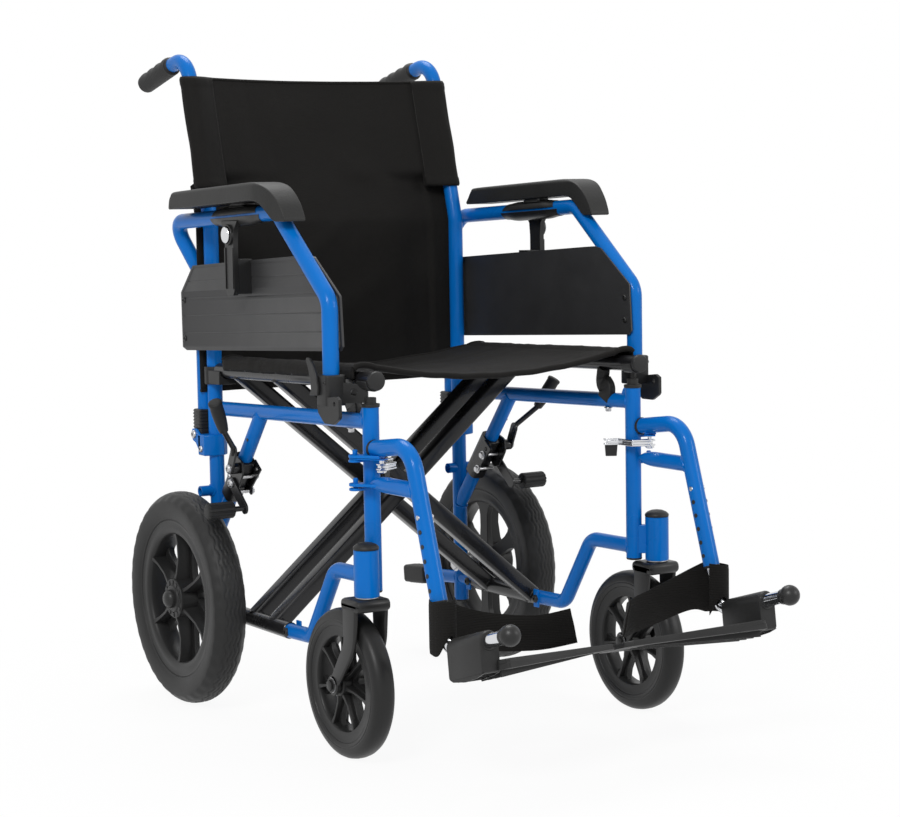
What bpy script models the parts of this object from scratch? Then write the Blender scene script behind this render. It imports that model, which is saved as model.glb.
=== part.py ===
"""Folding attendant wheelchair, at rest and unfolded.

Metres, +Z up, floor at z = 0. The chair faces -Y and +X is the sitter's left.
Each side is drawn once in outboard coordinates and placed twice, the right side mirrored.
"""

import math

import bpy
from mathutils import Vector

# General sizes
TUBE = 0.011
JOINED_TUBE = 0.95 * TUBE
FIT = 0.0004
SIDES = 12
WHEEL_SEGMENTS = 28
HALF_FRAME = 0.2115

# Rear wheel
REAR_RADIUS = 0.1555
REAR_HALF_WIDTH = 0.025
REAR_RIM_RADIUS = 0.112
REAR_HUB_RADIUS = 0.026
REAR_HUB_HALF = 0.030
REAR_SPOKES = 6
REAR_OUT = 0.056
AXLE_BOLT = 0.0058
AXLE_SPACER = 0.0115

# Castor
CASTOR_RADIUS = 0.0995
CASTOR_HALF_WIDTH = 0.016
CASTOR_HUB_HALF = 0.0175
CASTOR_SPOKES = 7
CASTOR_OUT = 0.0235
CASTOR_AHEAD = 0.475
CASTOR_TRAIL = 0.0516
CASTOR_BOLT = 0.004
FORK_GAP = 0.002
FORK_LEG = 0.006
STEM = 0.0062
CROWN_GAP = 0.004
CROWN_HIGH = 0.0165
BARREL = 0.0165
BARREL_HIGH = 0.062

# Side frame, as distances ahead of the rear axle and heights
CANE_AHEAD = -0.003
CANE_FOOT = 0.098
CANE_BEND_UP = 0.70
HANDLE_CORNER = (-0.068, 0.948)
HANDLE_BEND = 0.040
HANDLE_DROP = 0.2288
GRIP_FROM = 0.1165
GRIP_TO = 0.2165
GRIP_RADIUS = 0.0145
GRIP_END_WALL = 0.008
POST_BEHIND_CASTOR = 0.022
POST_FOOT = 0.224
POST_BELOW_RAIL = 0.020
SIDE_TUBE_BELOW_RAIL = 0.056
SIDE_TUBE_RISE = 0.0145
STRUT_AHEAD = 0.148
STRUT_FOOT = 0.250
BRACE_UP = 0.133
BRACE_TUBE = 0.0118
BRACE_FROM = 0.0405
BRACE_TO = 0.2170
BRACE_END_GAP = 0.0008
TIP_AHEAD = -0.150
TIP_UP = 0.120
TIP_PAD = 0.0145
TIP_PAD_FROM = 0.098
TIP_PAD_TO = 0.160
STUB_UP = 0.309
STUB = 0.0078
STUB_BORE = 0.0048
STUB_IN = 0.022
STUB_OUT = 0.029

# Cross brace, seat and back
RAIL = 0.011
RAIL_UP = 0.4865
RAIL_RISE = 0.0255
RAIL_FROM = 0.017
RAIL_BEYOND_POST = 0.0155
RAIL_CAP = 0.0125
RAIL_CAP_LONG = 0.004
OUTER_DIAGONALS = (0.079, 0.199)
INNER_DIAGONALS = (0.107, 0.171)
DIAGONAL_HALF_WIDE = 0.0118
DIAGONAL_HALF_DEEP = 0.0120
PIVOT_BOLT = 0.004
CLOTH = 0.0024
SEAT_FROM = 0.055
SEAT_SHORT_OF_POST = 0.018
SEAT_SAG = 0.020
BACK_TOP = 0.906
BACK_SLEEVE_FOOT = 0.752
BACK_FOOT = 0.456
BACK_SAG = 0.040
BACK_INSET = 0.006

# Armrest
ARM_GAP = 0.0125
ARM_BEHIND_POST = 0.0405
ARM_BEHIND_CANE = 0.0262
ARM_LEG_OUT = 0.004
ARM_CORNER_BEHIND = 0.026
ARM_LEAN_HIGH = 0.085
ARM_TOP = 0.7100
ARM_PIVOT_UP = 0.391
ARM_PIN = 0.005
ARM_SLEEVE_HALF_WIDE = 0.0155
ARM_SLEEVE_HALF_LONG = 0.0125
ARM_SLEEVE_HIGH = 0.037
ARM_FOOT_ABOVE_PIN = 0.011
CLAMP_PLATE = 0.003
CLAMP_HIGH = 0.031
ARM_SEAT_DEEP = 0.007
ARM_SLOPE_LONG = 0.1385
ARM_SLOPE_HIGH = 0.108
ARM_RISE = 0.040
PAD_WIDE = 0.046
PAD_HIGH = 0.0248
PAD_INSET = 0.0125
PAD_CLEAR = 0.0056
PAD_AHEAD_OF_LEG = 0.0247
PAD_SHORT_OF_FRONT = 0.0835
PAD_NOSE_LONG = 0.073
PAD_SEAT_HALF_LONG = 0.030
PANEL_BEHIND = 0.0328
PANEL_BEYOND = 0.0115
PANEL_REAR_DROP = 0.1955
PANEL_FRONT_DROP = 0.1755
PANEL_THICK = 0.003
STEM_PLATE = 0.0034
STEM_AHEAD = 0.155
STEM_HALF_WIDE = 0.017
BUTTON = 0.0115
BUTTON_DROP = 0.024
BUTTON_SHAFT = 0.006
BUTTON_TRAVEL = 0.003

# Front socket and rear saddle
COLLAR = 0.0150
COLLAR_HIGH = 0.0415
COLLAR_ABOVE_POST = 0.039
CRADLE_HALF = 0.0138
CRADLE_LONG = 0.026

# Legrest
LEG_OUT = 0.004
LEG_PIN_OUT = 0.0255
PIN_BEYOND_POST = 0.002
LEG_PIN = 0.0033
TAB_THICK = 0.0034
UPPER_TAB_UP = 0.3945
LOWER_TAB_UP = 0.3575
BUSH_HIGH = 0.0016
BUSH_HALF_WIDE = 0.0075
HANGER_GAP = 0.0015
HANGER_UP = 0.411
HANGER_KNEE_LONG = 0.106
HANGER_KNEE_UP = 0.4225
HANGER_FOOT_LONG = 0.167
HANGER_FOOT_UP = 0.2335
HANGER_ELBOW = (0.016, -0.0375)
HANGER_BEND = 0.040
FOOT_TUBE = 0.0088
FOOT_CORNER = 0.0605
FOOT_REACH = 0.1458
FOOT_BEND = 0.022
FOOT_INSIDE = 0.085
KNOB = 0.0143
BLOCK_FROM = 0.0315
BLOCK_TO = 0.0885
BLOCK_HALF_WIDE = 0.0165
BLOCK_TOP = 0.0130
PLATE_TOP = -0.024
PLATE_FOOT = -0.038
PLATE_GAP = 0.007
STRAP_HIGH = 0.045
STRAP_FOOT = 0.171
STRAP_RISE = 0.0130
LATCH_PIN = 0.003
LATCH_HEAD = 0.0062
LATCH_THICK = 0.009
LATCH_DROP = 0.006
LATCH_REACH = 0.0205

# Brake
SHOE = 0.012
SHOE_HALF_LONG = 0.021
SHOE_GAP = 0.0163
SHOE_ANGLE = math.radians(50.0)
SHOE_ARM = 0.050
BRAKE_PIVOT = (0.098, 0.352)
BRAKE_ELBOW = (0.0135, 0.027)
BRAKE_PLATE = 0.003
BRAKE_PIN = 0.0035
BRAKE_STAND = 0.0115
ROD = 0.004
LEVER_GRIP = 0.0102
GRIP_START = (0.0385, 0.038, 0.059)
GRIP_RUN = (0.0214, 0.0173, 0.0441)

# Derived positions
REAR_OUTBOARD = HALF_FRAME + REAR_OUT
CASTOR_OUTBOARD = HALF_FRAME + CASTOR_OUT
CROWN_FOOT = 2 * CASTOR_RADIUS + CROWN_GAP
BARREL_FOOT = CROWN_FOOT + CROWN_HIGH + 0.0018
BARREL_TOP = BARREL_FOOT + BARREL_HIGH
CASTOR_AXLE_AHEAD = CASTOR_AHEAD - CASTOR_TRAIL
POST_AHEAD = CASTOR_AHEAD - POST_BEHIND_CASTOR
POST_TOP = RAIL_UP - POST_BELOW_RAIL
SIDE_TUBE_UP = RAIL_UP - SIDE_TUBE_BELOW_RAIL
RAIL_TO = POST_AHEAD + RAIL_BEYOND_POST
SEAT_TO = POST_AHEAD - SEAT_SHORT_OF_POST
ARM_OUTBOARD = HALF_FRAME + TUBE + ARM_GAP + TUBE
ARM_FRONT_AHEAD = POST_AHEAD - ARM_BEHIND_POST
ARM_REAR_AHEAD = CANE_AHEAD - ARM_BEHIND_CANE
ARM_LEG_OUTBOARD = HALF_FRAME + ARM_LEG_OUT
ARM_REAR_FOOT = ARM_PIVOT_UP + ARM_FOOT_ABOVE_PIN
ARM_MIDDLE = (ARM_REAR_AHEAD - ARM_CORNER_BEHIND + ARM_FRONT_AHEAD - ARM_SLOPE_LONG) / 2
PAD_FROM = ARM_REAR_AHEAD + PAD_AHEAD_OF_LEG
PAD_TO = ARM_FRONT_AHEAD - PAD_SHORT_OF_FRONT
BUTTON_UP = ARM_TOP - BUTTON_DROP
COLLAR_TOP = POST_TOP + COLLAR_ABOVE_POST
COLLAR_FOOT = COLLAR_TOP - COLLAR_HIGH
ARM_SEAT_UP = COLLAR_TOP - ARM_SEAT_DEEP
SOCKET_LEVER_PIVOT = (ARM_FRONT_AHEAD - 0.0095, COLLAR_TOP - 0.0175)
LEG_OUTBOARD = HALF_FRAME + LEG_OUT
PIN_OUTBOARD = HALF_FRAME + LEG_PIN_OUT
LEG_PIN_AHEAD = POST_AHEAD + PIN_BEYOND_POST
UPPER_PLATE_UP = UPPER_TAB_UP + TAB_THICK + 2 * FIT + BUSH_HIGH
LOWER_PLATE_UP = LOWER_TAB_UP + TAB_THICK + 2 * FIT + BUSH_HIGH
LATCH_AHEAD = POST_AHEAD + TUBE + HANGER_GAP + LATCH_REACH
LATCH_UP = UPPER_PLATE_UP - FIT - LATCH_THICK - LATCH_DROP
HANGER_KNEE = (POST_AHEAD + HANGER_KNEE_LONG, HANGER_KNEE_UP)
HANGER_FOOT = (POST_AHEAD + HANGER_FOOT_LONG, HANGER_FOOT_UP)
HANGER_RUN = (Vector(HANGER_FOOT) - Vector(HANGER_KNEE) - Vector(HANGER_ELBOW)).normalized()
FOOT_RUN = Vector((-HANGER_RUN.y, HANGER_RUN.x))
FOOT_AT = Vector(HANGER_FOOT) + HANGER_RUN * FOOT_CORNER
KNOB_AT = FOOT_AT + FOOT_RUN * FOOT_REACH
SHOE_AWAY = REAR_RADIUS + SHOE_GAP + SHOE
SHOE_AT = Vector((math.cos(SHOE_ANGLE) * SHOE_AWAY, REAR_RADIUS + math.sin(SHOE_ANGLE) * SHOE_AWAY))
SHOE_PIVOT = SHOE_AT + Vector((-math.sin(SHOE_ANGLE), math.cos(SHOE_ANGLE))) * SHOE_ARM
HANDLE_RUN = Vector((-1.0, -HANDLE_DROP)).normalized()
REAR_REACH = GRIP_TO - HANDLE_RUN.y * GRIP_RADIUS * math.cos(math.pi / SIDES)
REAR_AXLE_Y = (KNOB_AT.x + KNOB - REAR_REACH) / 2

BLUE = ("blue_paint", (0.02, 0.16, 0.55, 1.0), 0.30, 0.0)
BLACK = ("black_plastic", (0.02, 0.02, 0.022, 1.0), 0.50, 0.0)
STEEL = ("black_paint", (0.012, 0.012, 0.013, 1.0), 0.30, 0.0)
RUBBER = ("black_rubber", (0.018, 0.018, 0.018, 1.0), 0.65, 0.0)
FABRIC = ("black_cloth", (0.02, 0.019, 0.019, 1.0), 0.80, 0.0)
CHROME = ("chrome", (0.80, 0.80, 0.82, 1.0), 0.12, 1.0)


# Small helpers for positions


def spot(outboard, ahead, up):
    """A point from its distance outboard, its distance ahead of the rear axle and its height."""
    return Vector((outboard, REAR_AXLE_Y - ahead, up))


def rail_up(ahead):
    return RAIL_UP + RAIL_RISE * ahead


def side_tube_up(ahead):
    return SIDE_TUBE_UP + SIDE_TUBE_RISE * ahead / POST_AHEAD


def foot_spot(outboard, along, above):
    """A point near the footrest tube: along its forward run and above it."""
    place = FOOT_AT + FOOT_RUN * along - HANGER_RUN * above
    return spot(outboard, place.x, place.y)


# Solids, each a pair of points and faces


def outward(shape):
    """The same solid with its faces turned outwards."""
    points, faces = shape
    total = 0.0
    for face in faces:
        first = points[face[0]]
        for one, two in zip(face[1:-1], face[2:]):
            total += first.dot(points[one].cross(points[two]))
    if total < 0:
        faces = [tuple(reversed(face)) for face in faces]
    return points, faces


def loft(rings, closed=False):
    """A solid through rings of equally many points, capped at both ends or closed on itself."""
    count = len(rings[0])
    points = [point for ring in rings for point in ring]
    faces = []
    last = len(rings) if closed else len(rings) - 1
    for index in range(last):
        here = index * count
        there = (index + 1) % len(rings) * count
        for step in range(count):
            after = (step + 1) % count
            faces.append((here + step, here + after, there + after, there + step))
    if not closed:
        faces.append(tuple(reversed(range(count))))
        faces.append(tuple(range(len(points) - count, len(points))))
    return outward((points, faces))


def rounded(corners, radius, steps=4):
    """The path with each inner corner replaced by an arc."""
    path = [corners[0]]
    for before, corner, after in zip(corners, corners[1:], corners[2:]):
        back = (before - corner).normalized()
        front = (after - corner).normalized()
        half = back.angle(front) / 2
        reach = radius / math.tan(half)
        middle = corner + (back + front).normalized() * (radius / math.sin(half))
        start = corner + back * reach - middle
        sweep = math.pi - 2 * half
        across = (corner + front * reach - middle) - start * math.cos(sweep)
        across = across.normalized() * radius
        for step in range(steps + 1):
            angle = sweep * step / steps
            path.append(middle + start * math.cos(angle) + across * math.sin(angle))
    path.append(corners[-1])
    return path


def swept(path, radius, sides=SIDES, reference=None, other_radius=None):
    """A round or oval bar along a path. The radius may be a list with one value for each point."""
    radii = radius if isinstance(radius, (list, tuple)) else [radius] * len(path)
    rings = []
    side = reference or Vector((1.0, 0.0, 0.0))
    for index, point in enumerate(path):
        before = path[max(index - 1, 0)]
        after = path[min(index + 1, len(path) - 1)]
        back = (point - before).normalized()
        front = (after - point).normalized()
        along = (back + front).normalized()
        side = (side - along * side.dot(along)).normalized()
        up = along.cross(side)
        tall = (other_radius or radii[index]) if other_radius else radii[index]
        ring = []
        for step in range(sides):
            angle = 2 * math.pi * (step + 0.5) / sides
            ring.append(point + side * math.cos(angle) * radii[index] + up * math.sin(angle) * tall)
        rings.append(ring)
    return loft(rings)


def bar(start, end, radius, sides=SIDES):
    along = (end - start).normalized()
    reference = Vector((0.0, 0.0, 1.0)) if abs(along.x) > 0.9 else Vector((1.0, 0.0, 0.0))
    return swept([start, end], radius, sides, reference)


def turned(centre, axis, profile, segments):
    """A ring turned round an axis, from a closed profile of (radius, distance along) pairs."""
    axis = axis.normalized()
    side = Vector((0.0, 0.0, 1.0)) if abs(axis.z) < 0.9 else Vector((1.0, 0.0, 0.0))
    side = (side - axis * side.dot(axis)).normalized()
    up = axis.cross(side)
    rings = []
    for step in range(segments):
        angle = 2 * math.pi * step / segments
        out = side * math.cos(angle) + up * math.sin(angle)
        rings.append([centre + out * radius + axis * along for radius, along in profile])
    return loft(rings, closed=True)


def slab(outline, offset):
    """A flat plate: an outline of points, and the same outline moved by the offset."""
    return loft([list(outline), [point + offset for point in outline]])


def block(low, high):
    corners = [
        Vector((low.x, low.y, low.z)),
        Vector((high.x, low.y, low.z)),
        Vector((high.x, high.y, low.z)),
        Vector((low.x, high.y, low.z)),
    ]
    return slab(corners, Vector((0.0, 0.0, high.z - low.z)))


def box(outboard, ahead, up):
    """A box from three (low, high) pairs."""
    return block(
        Vector((outboard[0], REAR_AXLE_Y - ahead[1], up[0])),
        Vector((outboard[1], REAR_AXLE_Y - ahead[0], up[1])),
    )


def ball(centre, radius, segments=12, rows=8):
    points = [centre + Vector((0.0, 0.0, -radius))]
    for row in range(1, rows):
        tilt = math.pi * row / rows - math.pi / 2
        for step in range(segments):
            angle = 2 * math.pi * step / segments
            flat = radius * math.cos(tilt)
            points.append(
                centre + Vector((flat * math.cos(angle), flat * math.sin(angle), radius * math.sin(tilt)))
            )
    points.append(centre + Vector((0.0, 0.0, radius)))
    faces = []
    top = len(points) - 1
    for step in range(segments):
        after = (step + 1) % segments
        faces.append((0, 1 + after, 1 + step))
        faces.append((top, top - segments + step, top - segments + after))
        for row in range(rows - 2):
            here = 1 + row * segments
            there = here + segments
            faces.append((here + step, here + after, there + after, there + step))
    return outward((points, faces))


def holder_of(shape):
    points, faces = shape
    mesh = bpy.data.meshes.new("piece")
    mesh.from_pydata([tuple(point) for point in points], [], faces)
    holder = bpy.data.objects.new("piece", mesh)
    bpy.context.collection.objects.link(holder)
    return holder


def combined(base, others, operation):
    """The base with the others added to it or cut from it."""
    holders = [holder_of(shape) for shape in [base] + list(others)]
    for other in holders[1:]:
        step = holders[0].modifiers.new("join", "BOOLEAN")
        step.operation = operation
        step.solver = "EXACT"
        step.object = other
    bpy.context.view_layer.update()
    evaluated = holders[0].evaluated_get(bpy.context.evaluated_depsgraph_get())
    mesh = evaluated.to_mesh()
    points = [vertex.co.copy() for vertex in mesh.vertices]
    faces = [tuple(polygon.vertices) for polygon in mesh.polygons]
    evaluated.to_mesh_clear()
    for holder in holders:
        mesh = holder.data
        bpy.data.objects.remove(holder)
        bpy.data.meshes.remove(mesh)
    return points, faces


def fused(*shapes):
    return combined(shapes[0], shapes[1:], "UNION")


def without(shape, *cutters):
    return combined(shape, cutters, "DIFFERENCE")


def mirrored(shape):
    points, faces = shape
    points = [Vector((-point.x, point.y, point.z)) for point in points]
    return points, [tuple(reversed(face)) for face in faces]


# Materials and nodes


def material_of(finish):
    name, colour, roughness, metallic = finish
    material = bpy.data.materials.get(name)
    if material is None:
        material = bpy.data.materials.new(name)
        material.use_nodes = True
        shader = material.node_tree.nodes["Principled BSDF"]
        shader.inputs["Base Color"].default_value = colour
        shader.inputs["Roughness"].default_value = roughness
        shader.inputs["Metallic"].default_value = metallic
        material.diffuse_color = colour
    return material


def node(name, shape, finish, origin):
    """One object with its origin on its joint's axis."""
    points, faces = shape
    mesh = bpy.data.meshes.new(name)
    mesh.from_pydata([tuple(point - origin) for point in points], [], faces)
    mesh.materials.append(material_of(finish))
    made = bpy.data.objects.new(name, mesh)
    made.location = origin
    bpy.context.collection.objects.link(made)


def place_pair(name, shape, finish, origin):
    """The piece on the left as drawn and on the right mirrored."""
    node(name + "_left", shape, finish, origin)
    node(name + "_right", mirrored(shape), finish, Vector((-origin.x, origin.y, origin.z)))


# Side frame


def cane_path():
    corner = spot(HALF_FRAME, *HANDLE_CORNER)
    reach = GRIP_TO - GRIP_END_WALL + HANDLE_CORNER[0]
    end = corner + Vector((0.0, 1.0, -HANDLE_DROP)) * reach
    corners = [
        spot(HALF_FRAME, CANE_AHEAD, CANE_FOOT),
        spot(HALF_FRAME, CANE_AHEAD, CANE_BEND_UP),
        corner,
        end,
    ]
    return rounded(corners, HANDLE_BEND, 5)


def cane_at(up):
    """The cane's centre at a height below the handle's bend."""
    lean = (CANE_AHEAD - HANDLE_CORNER[0]) / (HANDLE_CORNER[1] - CANE_BEND_UP)
    return spot(HALF_FRAME, CANE_AHEAD - lean * max(0.0, up - CANE_BEND_UP), up)


def lower_front_path():
    corners = [
        spot(HALF_FRAME, POST_AHEAD, 0.2405),
        spot(HALF_FRAME, 0.352, 0.2385),
        spot(HALF_FRAME, 0.283, BRACE_UP + 0.0025),
        spot(HALF_FRAME, BRACE_TO + BRACE_END_GAP, BRACE_UP),
    ]
    return rounded(corners, 0.028, 4)


def disc_plate(outboard, ahead, radius, toward_outboard, toward_ahead, half_wide, foot, thick):
    """A tab seen from above: round at its pin and running to another point."""
    start = Vector((outboard, ahead))
    end = Vector((toward_outboard, toward_ahead))
    along = (end - start).normalized()
    across = Vector((-along.y, along.x))
    outline = [end - across * half_wide, end + across * half_wide]
    first = math.atan2(across.y, across.x)
    for step in range(9):
        angle = first + math.pi * step / 8
        outline.append(start + Vector((math.cos(angle), math.sin(angle))) * radius)
    return slab([spot(place.x, place.y, foot) for place in outline], Vector((0.0, 0.0, thick)))


def arm_clamp():
    """The block clamped on the cane, with two cheeks behind it that hold the armrest's pin."""
    inside = ARM_SLEEVE_HALF_WIDE + FIT
    outside = inside + CLAMP_PLATE
    across = (ARM_LEG_OUTBOARD - outside, ARM_LEG_OUTBOARD + outside)
    top = ARM_PIVOT_UP + 0.001
    foot = top - CLAMP_HIGH
    back = CANE_AHEAD - TUBE - 0.0005
    rear = ARM_REAR_AHEAD
    cheek = (
        (back + 0.004, foot),
        (back + 0.004, top),
        (rear + 0.004, ARM_PIVOT_UP + 0.009),
        (rear - 0.009, ARM_PIVOT_UP + 0.007),
        (rear - 0.011, ARM_PIVOT_UP - 0.004),
        (rear - 0.003, ARM_PIVOT_UP - 0.011),
    )
    shapes = [
        box(across, (back, CANE_AHEAD + TUBE + 0.003), (foot, top)),
        bar(spot(across[0], rear, ARM_PIVOT_UP), spot(across[1], rear, ARM_PIVOT_UP), ARM_PIN, 10),
    ]
    for outboard in (across[0], across[1] - CLAMP_PLATE):
        shapes.append(slab([spot(outboard, *place) for place in cheek], Vector((CLAMP_PLATE, 0.0, 0.0))))
    return shapes


def side_frame():
    plane = HALF_FRAME

    def tube(start, end, radius=JOINED_TUBE):
        """A straight tube in the frame's plane between two (ahead, up) places."""
        return bar(spot(plane, *start), spot(plane, *end), radius)

    stub_at = spot(plane, CANE_AHEAD, STUB_UP)
    shapes = [
        swept(cane_path(), TUBE),
        tube((CANE_AHEAD, side_tube_up(0)), (POST_AHEAD, side_tube_up(POST_AHEAD))),
        tube((STRUT_AHEAD, side_tube_up(STRUT_AHEAD)), (CANE_AHEAD, STRUT_FOOT)),
        tube((POST_AHEAD, POST_FOOT), (POST_AHEAD, POST_TOP), TUBE),
        swept(lower_front_path(), JOINED_TUBE),
        tube((BRACE_FROM - BRACE_END_GAP, BRACE_UP), (CANE_AHEAD, BRACE_UP)),
        tube((CANE_AHEAD, BRACE_UP), (TIP_AHEAD, TIP_UP), 0.97 * JOINED_TUBE),
        bar(stub_at - Vector((STUB_IN, 0.0, 0.0)), stub_at + Vector((STUB_OUT, 0.0, 0.0)), STUB),
        bar(
            spot(CASTOR_OUTBOARD, CASTOR_AHEAD, BARREL_FOOT),
            spot(CASTOR_OUTBOARD, CASTOR_AHEAD, BARREL_TOP),
            BARREL,
            14,
        ),
        *arm_clamp(),
    ]
    gusset = [
        spot(plane - 0.004, POST_AHEAD - 0.008, BARREL_FOOT + 0.010),
        spot(CASTOR_OUTBOARD - 0.002, CASTOR_AHEAD - 0.009, BARREL_FOOT + 0.010),
        spot(CASTOR_OUTBOARD + 0.002, CASTOR_AHEAD + 0.009, BARREL_FOOT + 0.010),
        spot(plane - 0.004, POST_AHEAD + 0.008, BARREL_FOOT + 0.010),
    ]
    shapes.append(slab(gusset, Vector((0.0, 0.0, BARREL_HIGH - 0.022))))
    for tab_up in (UPPER_TAB_UP, LOWER_TAB_UP):
        shapes.append(
            disc_plate(PIN_OUTBOARD, LEG_PIN_AHEAD, 0.0085, plane, POST_AHEAD, 0.0075, tab_up, TAB_THICK)
        )
        pin = spot(PIN_OUTBOARD, LEG_PIN_AHEAD, tab_up + 0.001)
        shapes.append(bar(pin, pin + Vector((0.0, 0.0, 0.0155)), LEG_PIN, 10))
    stem = spot(CASTOR_OUTBOARD, CASTOR_AHEAD, BARREL_FOOT - 0.005)
    stub_mouth = stub_at + Vector((1.2 * STUB_OUT, 0.0, 0.0))
    axle = spot(plane, 0.0, REAR_RADIUS)
    reach = Vector((2.5 * TUBE, 0.0, 0.0))
    return without(
        fused(*shapes),
        bar(stem, stem + Vector((0.0, 0.0, BARREL_HIGH)), STEM + FIT, 10),
        bar(stub_mouth, stub_mouth - Vector((0.72 * STUB_OUT, 0.0, 0.0)), STUB_BORE, 10),
        bar(axle - reach, axle + reach, AXLE_BOLT + FIT, 10),
    )


def push_grip():
    path = cane_path()
    run = (path[-1] - path[-2]).normalized()
    corner = spot(HALF_FRAME, *HANDLE_CORNER)
    slant = 1.0 / run.y
    start = corner + run * (GRIP_FROM + HANDLE_CORNER[0]) * slant
    end = corner + run * (GRIP_TO + HANDLE_CORNER[0]) * slant
    return without(bar(start, end, GRIP_RADIUS), bar(start - run * 0.02, path[-1] + run * FIT, TUBE + FIT))


def tipping_pad():
    start = spot(HALF_FRAME, CANE_AHEAD, BRACE_UP)
    end = spot(HALF_FRAME, TIP_AHEAD, TIP_UP)
    run = (end - start).normalized()
    pad_start = start + run * (TIP_PAD_FROM + CANE_AHEAD)
    pad_end = start + run * (TIP_PAD_TO + CANE_AHEAD)
    return without(bar(pad_start, pad_end, TIP_PAD), bar(start, end + run * FIT, JOINED_TUBE + FIT))


# Wheels


def spoke(centre, angle, inner, outer, half_wide, half_thick):
    out = Vector((0.0, math.cos(angle), math.sin(angle)))
    across = Vector((0.0, -math.sin(angle), math.cos(angle))) * half_wide
    deep = Vector((half_thick, 0.0, 0.0))
    outline = []
    for reach in (inner, outer):
        low = centre + out * reach - deep
        high = low + 2 * deep
        outline.append([low - across, low + across, high + across, high - across])
    return loft(outline)


def wheel_body(centre, ring, hub, spokes, inner, outer, half_wide, half_thick):
    axis = Vector((1.0, 0.0, 0.0))
    shapes = [turned(centre, axis, ring, WHEEL_SEGMENTS), turned(centre, axis, hub, 14)]
    for index in range(spokes):
        angle = 2 * math.pi * index / spokes + math.pi / 2
        shapes.append(spoke(centre, angle, inner, outer, half_wide, half_thick))
    return fused(*shapes)


def both_halves(profile):
    """A wheel's profile from its outboard half, listed from the inner edge to the outer."""
    return profile + [(radius, -along) for radius, along in reversed(profile)]


def castor_wheel(centre):
    wide = CASTOR_HALF_WIDTH
    ring = both_halves(
        [
            (0.70 * CASTOR_RADIUS, 0.78 * wide),
            (0.86 * CASTOR_RADIUS, wide),
            (0.95 * CASTOR_RADIUS, 0.86 * wide),
            (CASTOR_RADIUS, 0.30 * wide),
        ]
    )
    bore = CASTOR_BOLT + FIT
    hub = both_halves([(bore, CASTOR_HUB_HALF), (0.0155, CASTOR_HUB_HALF)])
    return wheel_body(
        centre, ring, hub, CASTOR_SPOKES, 0.011, 0.74 * CASTOR_RADIUS, 0.0055, 0.44 * wide
    )


def rear_rim(centre):
    wide = 0.80 * REAR_HALF_WIDTH
    ring = both_halves([(REAR_RIM_RADIUS - 0.0175, 0.85 * wide), (REAR_RIM_RADIUS, wide)])
    hub = both_halves([(AXLE_BOLT + FIT, REAR_HUB_HALF), (REAR_HUB_RADIUS, REAR_HUB_HALF)])
    return wheel_body(
        centre, ring, hub, REAR_SPOKES, 0.018, REAR_RIM_RADIUS - 0.006, 0.0085, 0.55 * wide
    )


def rear_tyre(centre):
    wide = REAR_HALF_WIDTH
    inner = REAR_RIM_RADIUS + FIT
    deep = REAR_RADIUS - inner
    profile = both_halves(
        [
            (inner, 0.76 * wide),
            (inner + 0.22 * deep, 0.95 * wide),
            (inner + 0.50 * deep, wide),
            (inner + 0.84 * deep, 0.80 * wide),
            (REAR_RADIUS, 0.36 * wide),
        ]
    )
    return turned(centre, Vector((1.0, 0.0, 0.0)), profile, WHEEL_SEGMENTS)


def rear_axle():
    plane = HALF_FRAME
    inner_face = REAR_OUTBOARD - REAR_HUB_HALF - FIT
    outer_face = REAR_OUTBOARD + REAR_HUB_HALF + FIT

    def along(start, end, radius, sides=10):
        return bar(spot(start, 0.0, REAR_RADIUS), spot(end, 0.0, REAR_RADIUS), radius, sides)

    flat = math.hypot(TUBE, 0.002) + FIT
    return fused(
        along(plane - flat - 0.004, outer_face + 0.004, AXLE_BOLT),
        along(plane - flat - 0.006, plane - flat, 0.0085, 6),
        along(plane + flat, inner_face, AXLE_SPACER, 12),
        along(outer_face, outer_face + 0.007, 0.0095, 8),
    )


def castor_cap():
    base = spot(CASTOR_OUTBOARD, CASTOR_AHEAD, BARREL_TOP + FIT)
    rise = Vector((0.0, 0.0, 1.0))
    path = [base, base + rise * 0.004, base + rise * 0.0072, base + rise * 0.009]
    return swept(path, [BARREL, BARREL, 0.72 * BARREL, 0.35 * BARREL], 14)


def castor_fork():
    inner = CASTOR_HUB_HALF + FORK_GAP
    outer = inner + FORK_LEG
    top = CROWN_FOOT + CROWN_HIGH
    axle_up = CASTOR_RADIUS
    middle = CASTOR_AXLE_AHEAD
    front = CASTOR_AHEAD + 0.022
    back = CASTOR_AHEAD - 0.030
    outline = [
        (front, top - 0.002),
        (back, top - 0.002),
        (middle - 0.014, axle_up + 0.016),
        (middle - 0.013, axle_up - 0.010),
        (middle, axle_up - 0.017),
        (middle + 0.013, axle_up - 0.010),
        (middle + 0.018, axle_up + 0.006),
        (front, CROWN_FOOT - 0.004),
    ]
    across = (CASTOR_OUTBOARD - outer + 0.001, CASTOR_OUTBOARD + outer - 0.001)
    shapes = [box(across, (back + 0.001, front - 0.001), (CROWN_FOOT, top))]
    for start in (CASTOR_OUTBOARD - outer, CASTOR_OUTBOARD + inner):
        leg = [spot(start, ahead, up) for ahead, up in outline]
        shapes.append(slab(leg, Vector((FORK_LEG, 0.0, 0.0))))
    stem = spot(CASTOR_OUTBOARD, CASTOR_AHEAD, top - 0.006)
    shapes.append(bar(stem, spot(CASTOR_OUTBOARD, CASTOR_AHEAD, BARREL_TOP - 0.008), STEM, 10))
    hole = spot(CASTOR_OUTBOARD - 2 * outer, middle, axle_up)
    return without(fused(*shapes), bar(hole, hole + Vector((4 * outer, 0.0, 0.0)), CASTOR_BOLT + FIT, 10))


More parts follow.
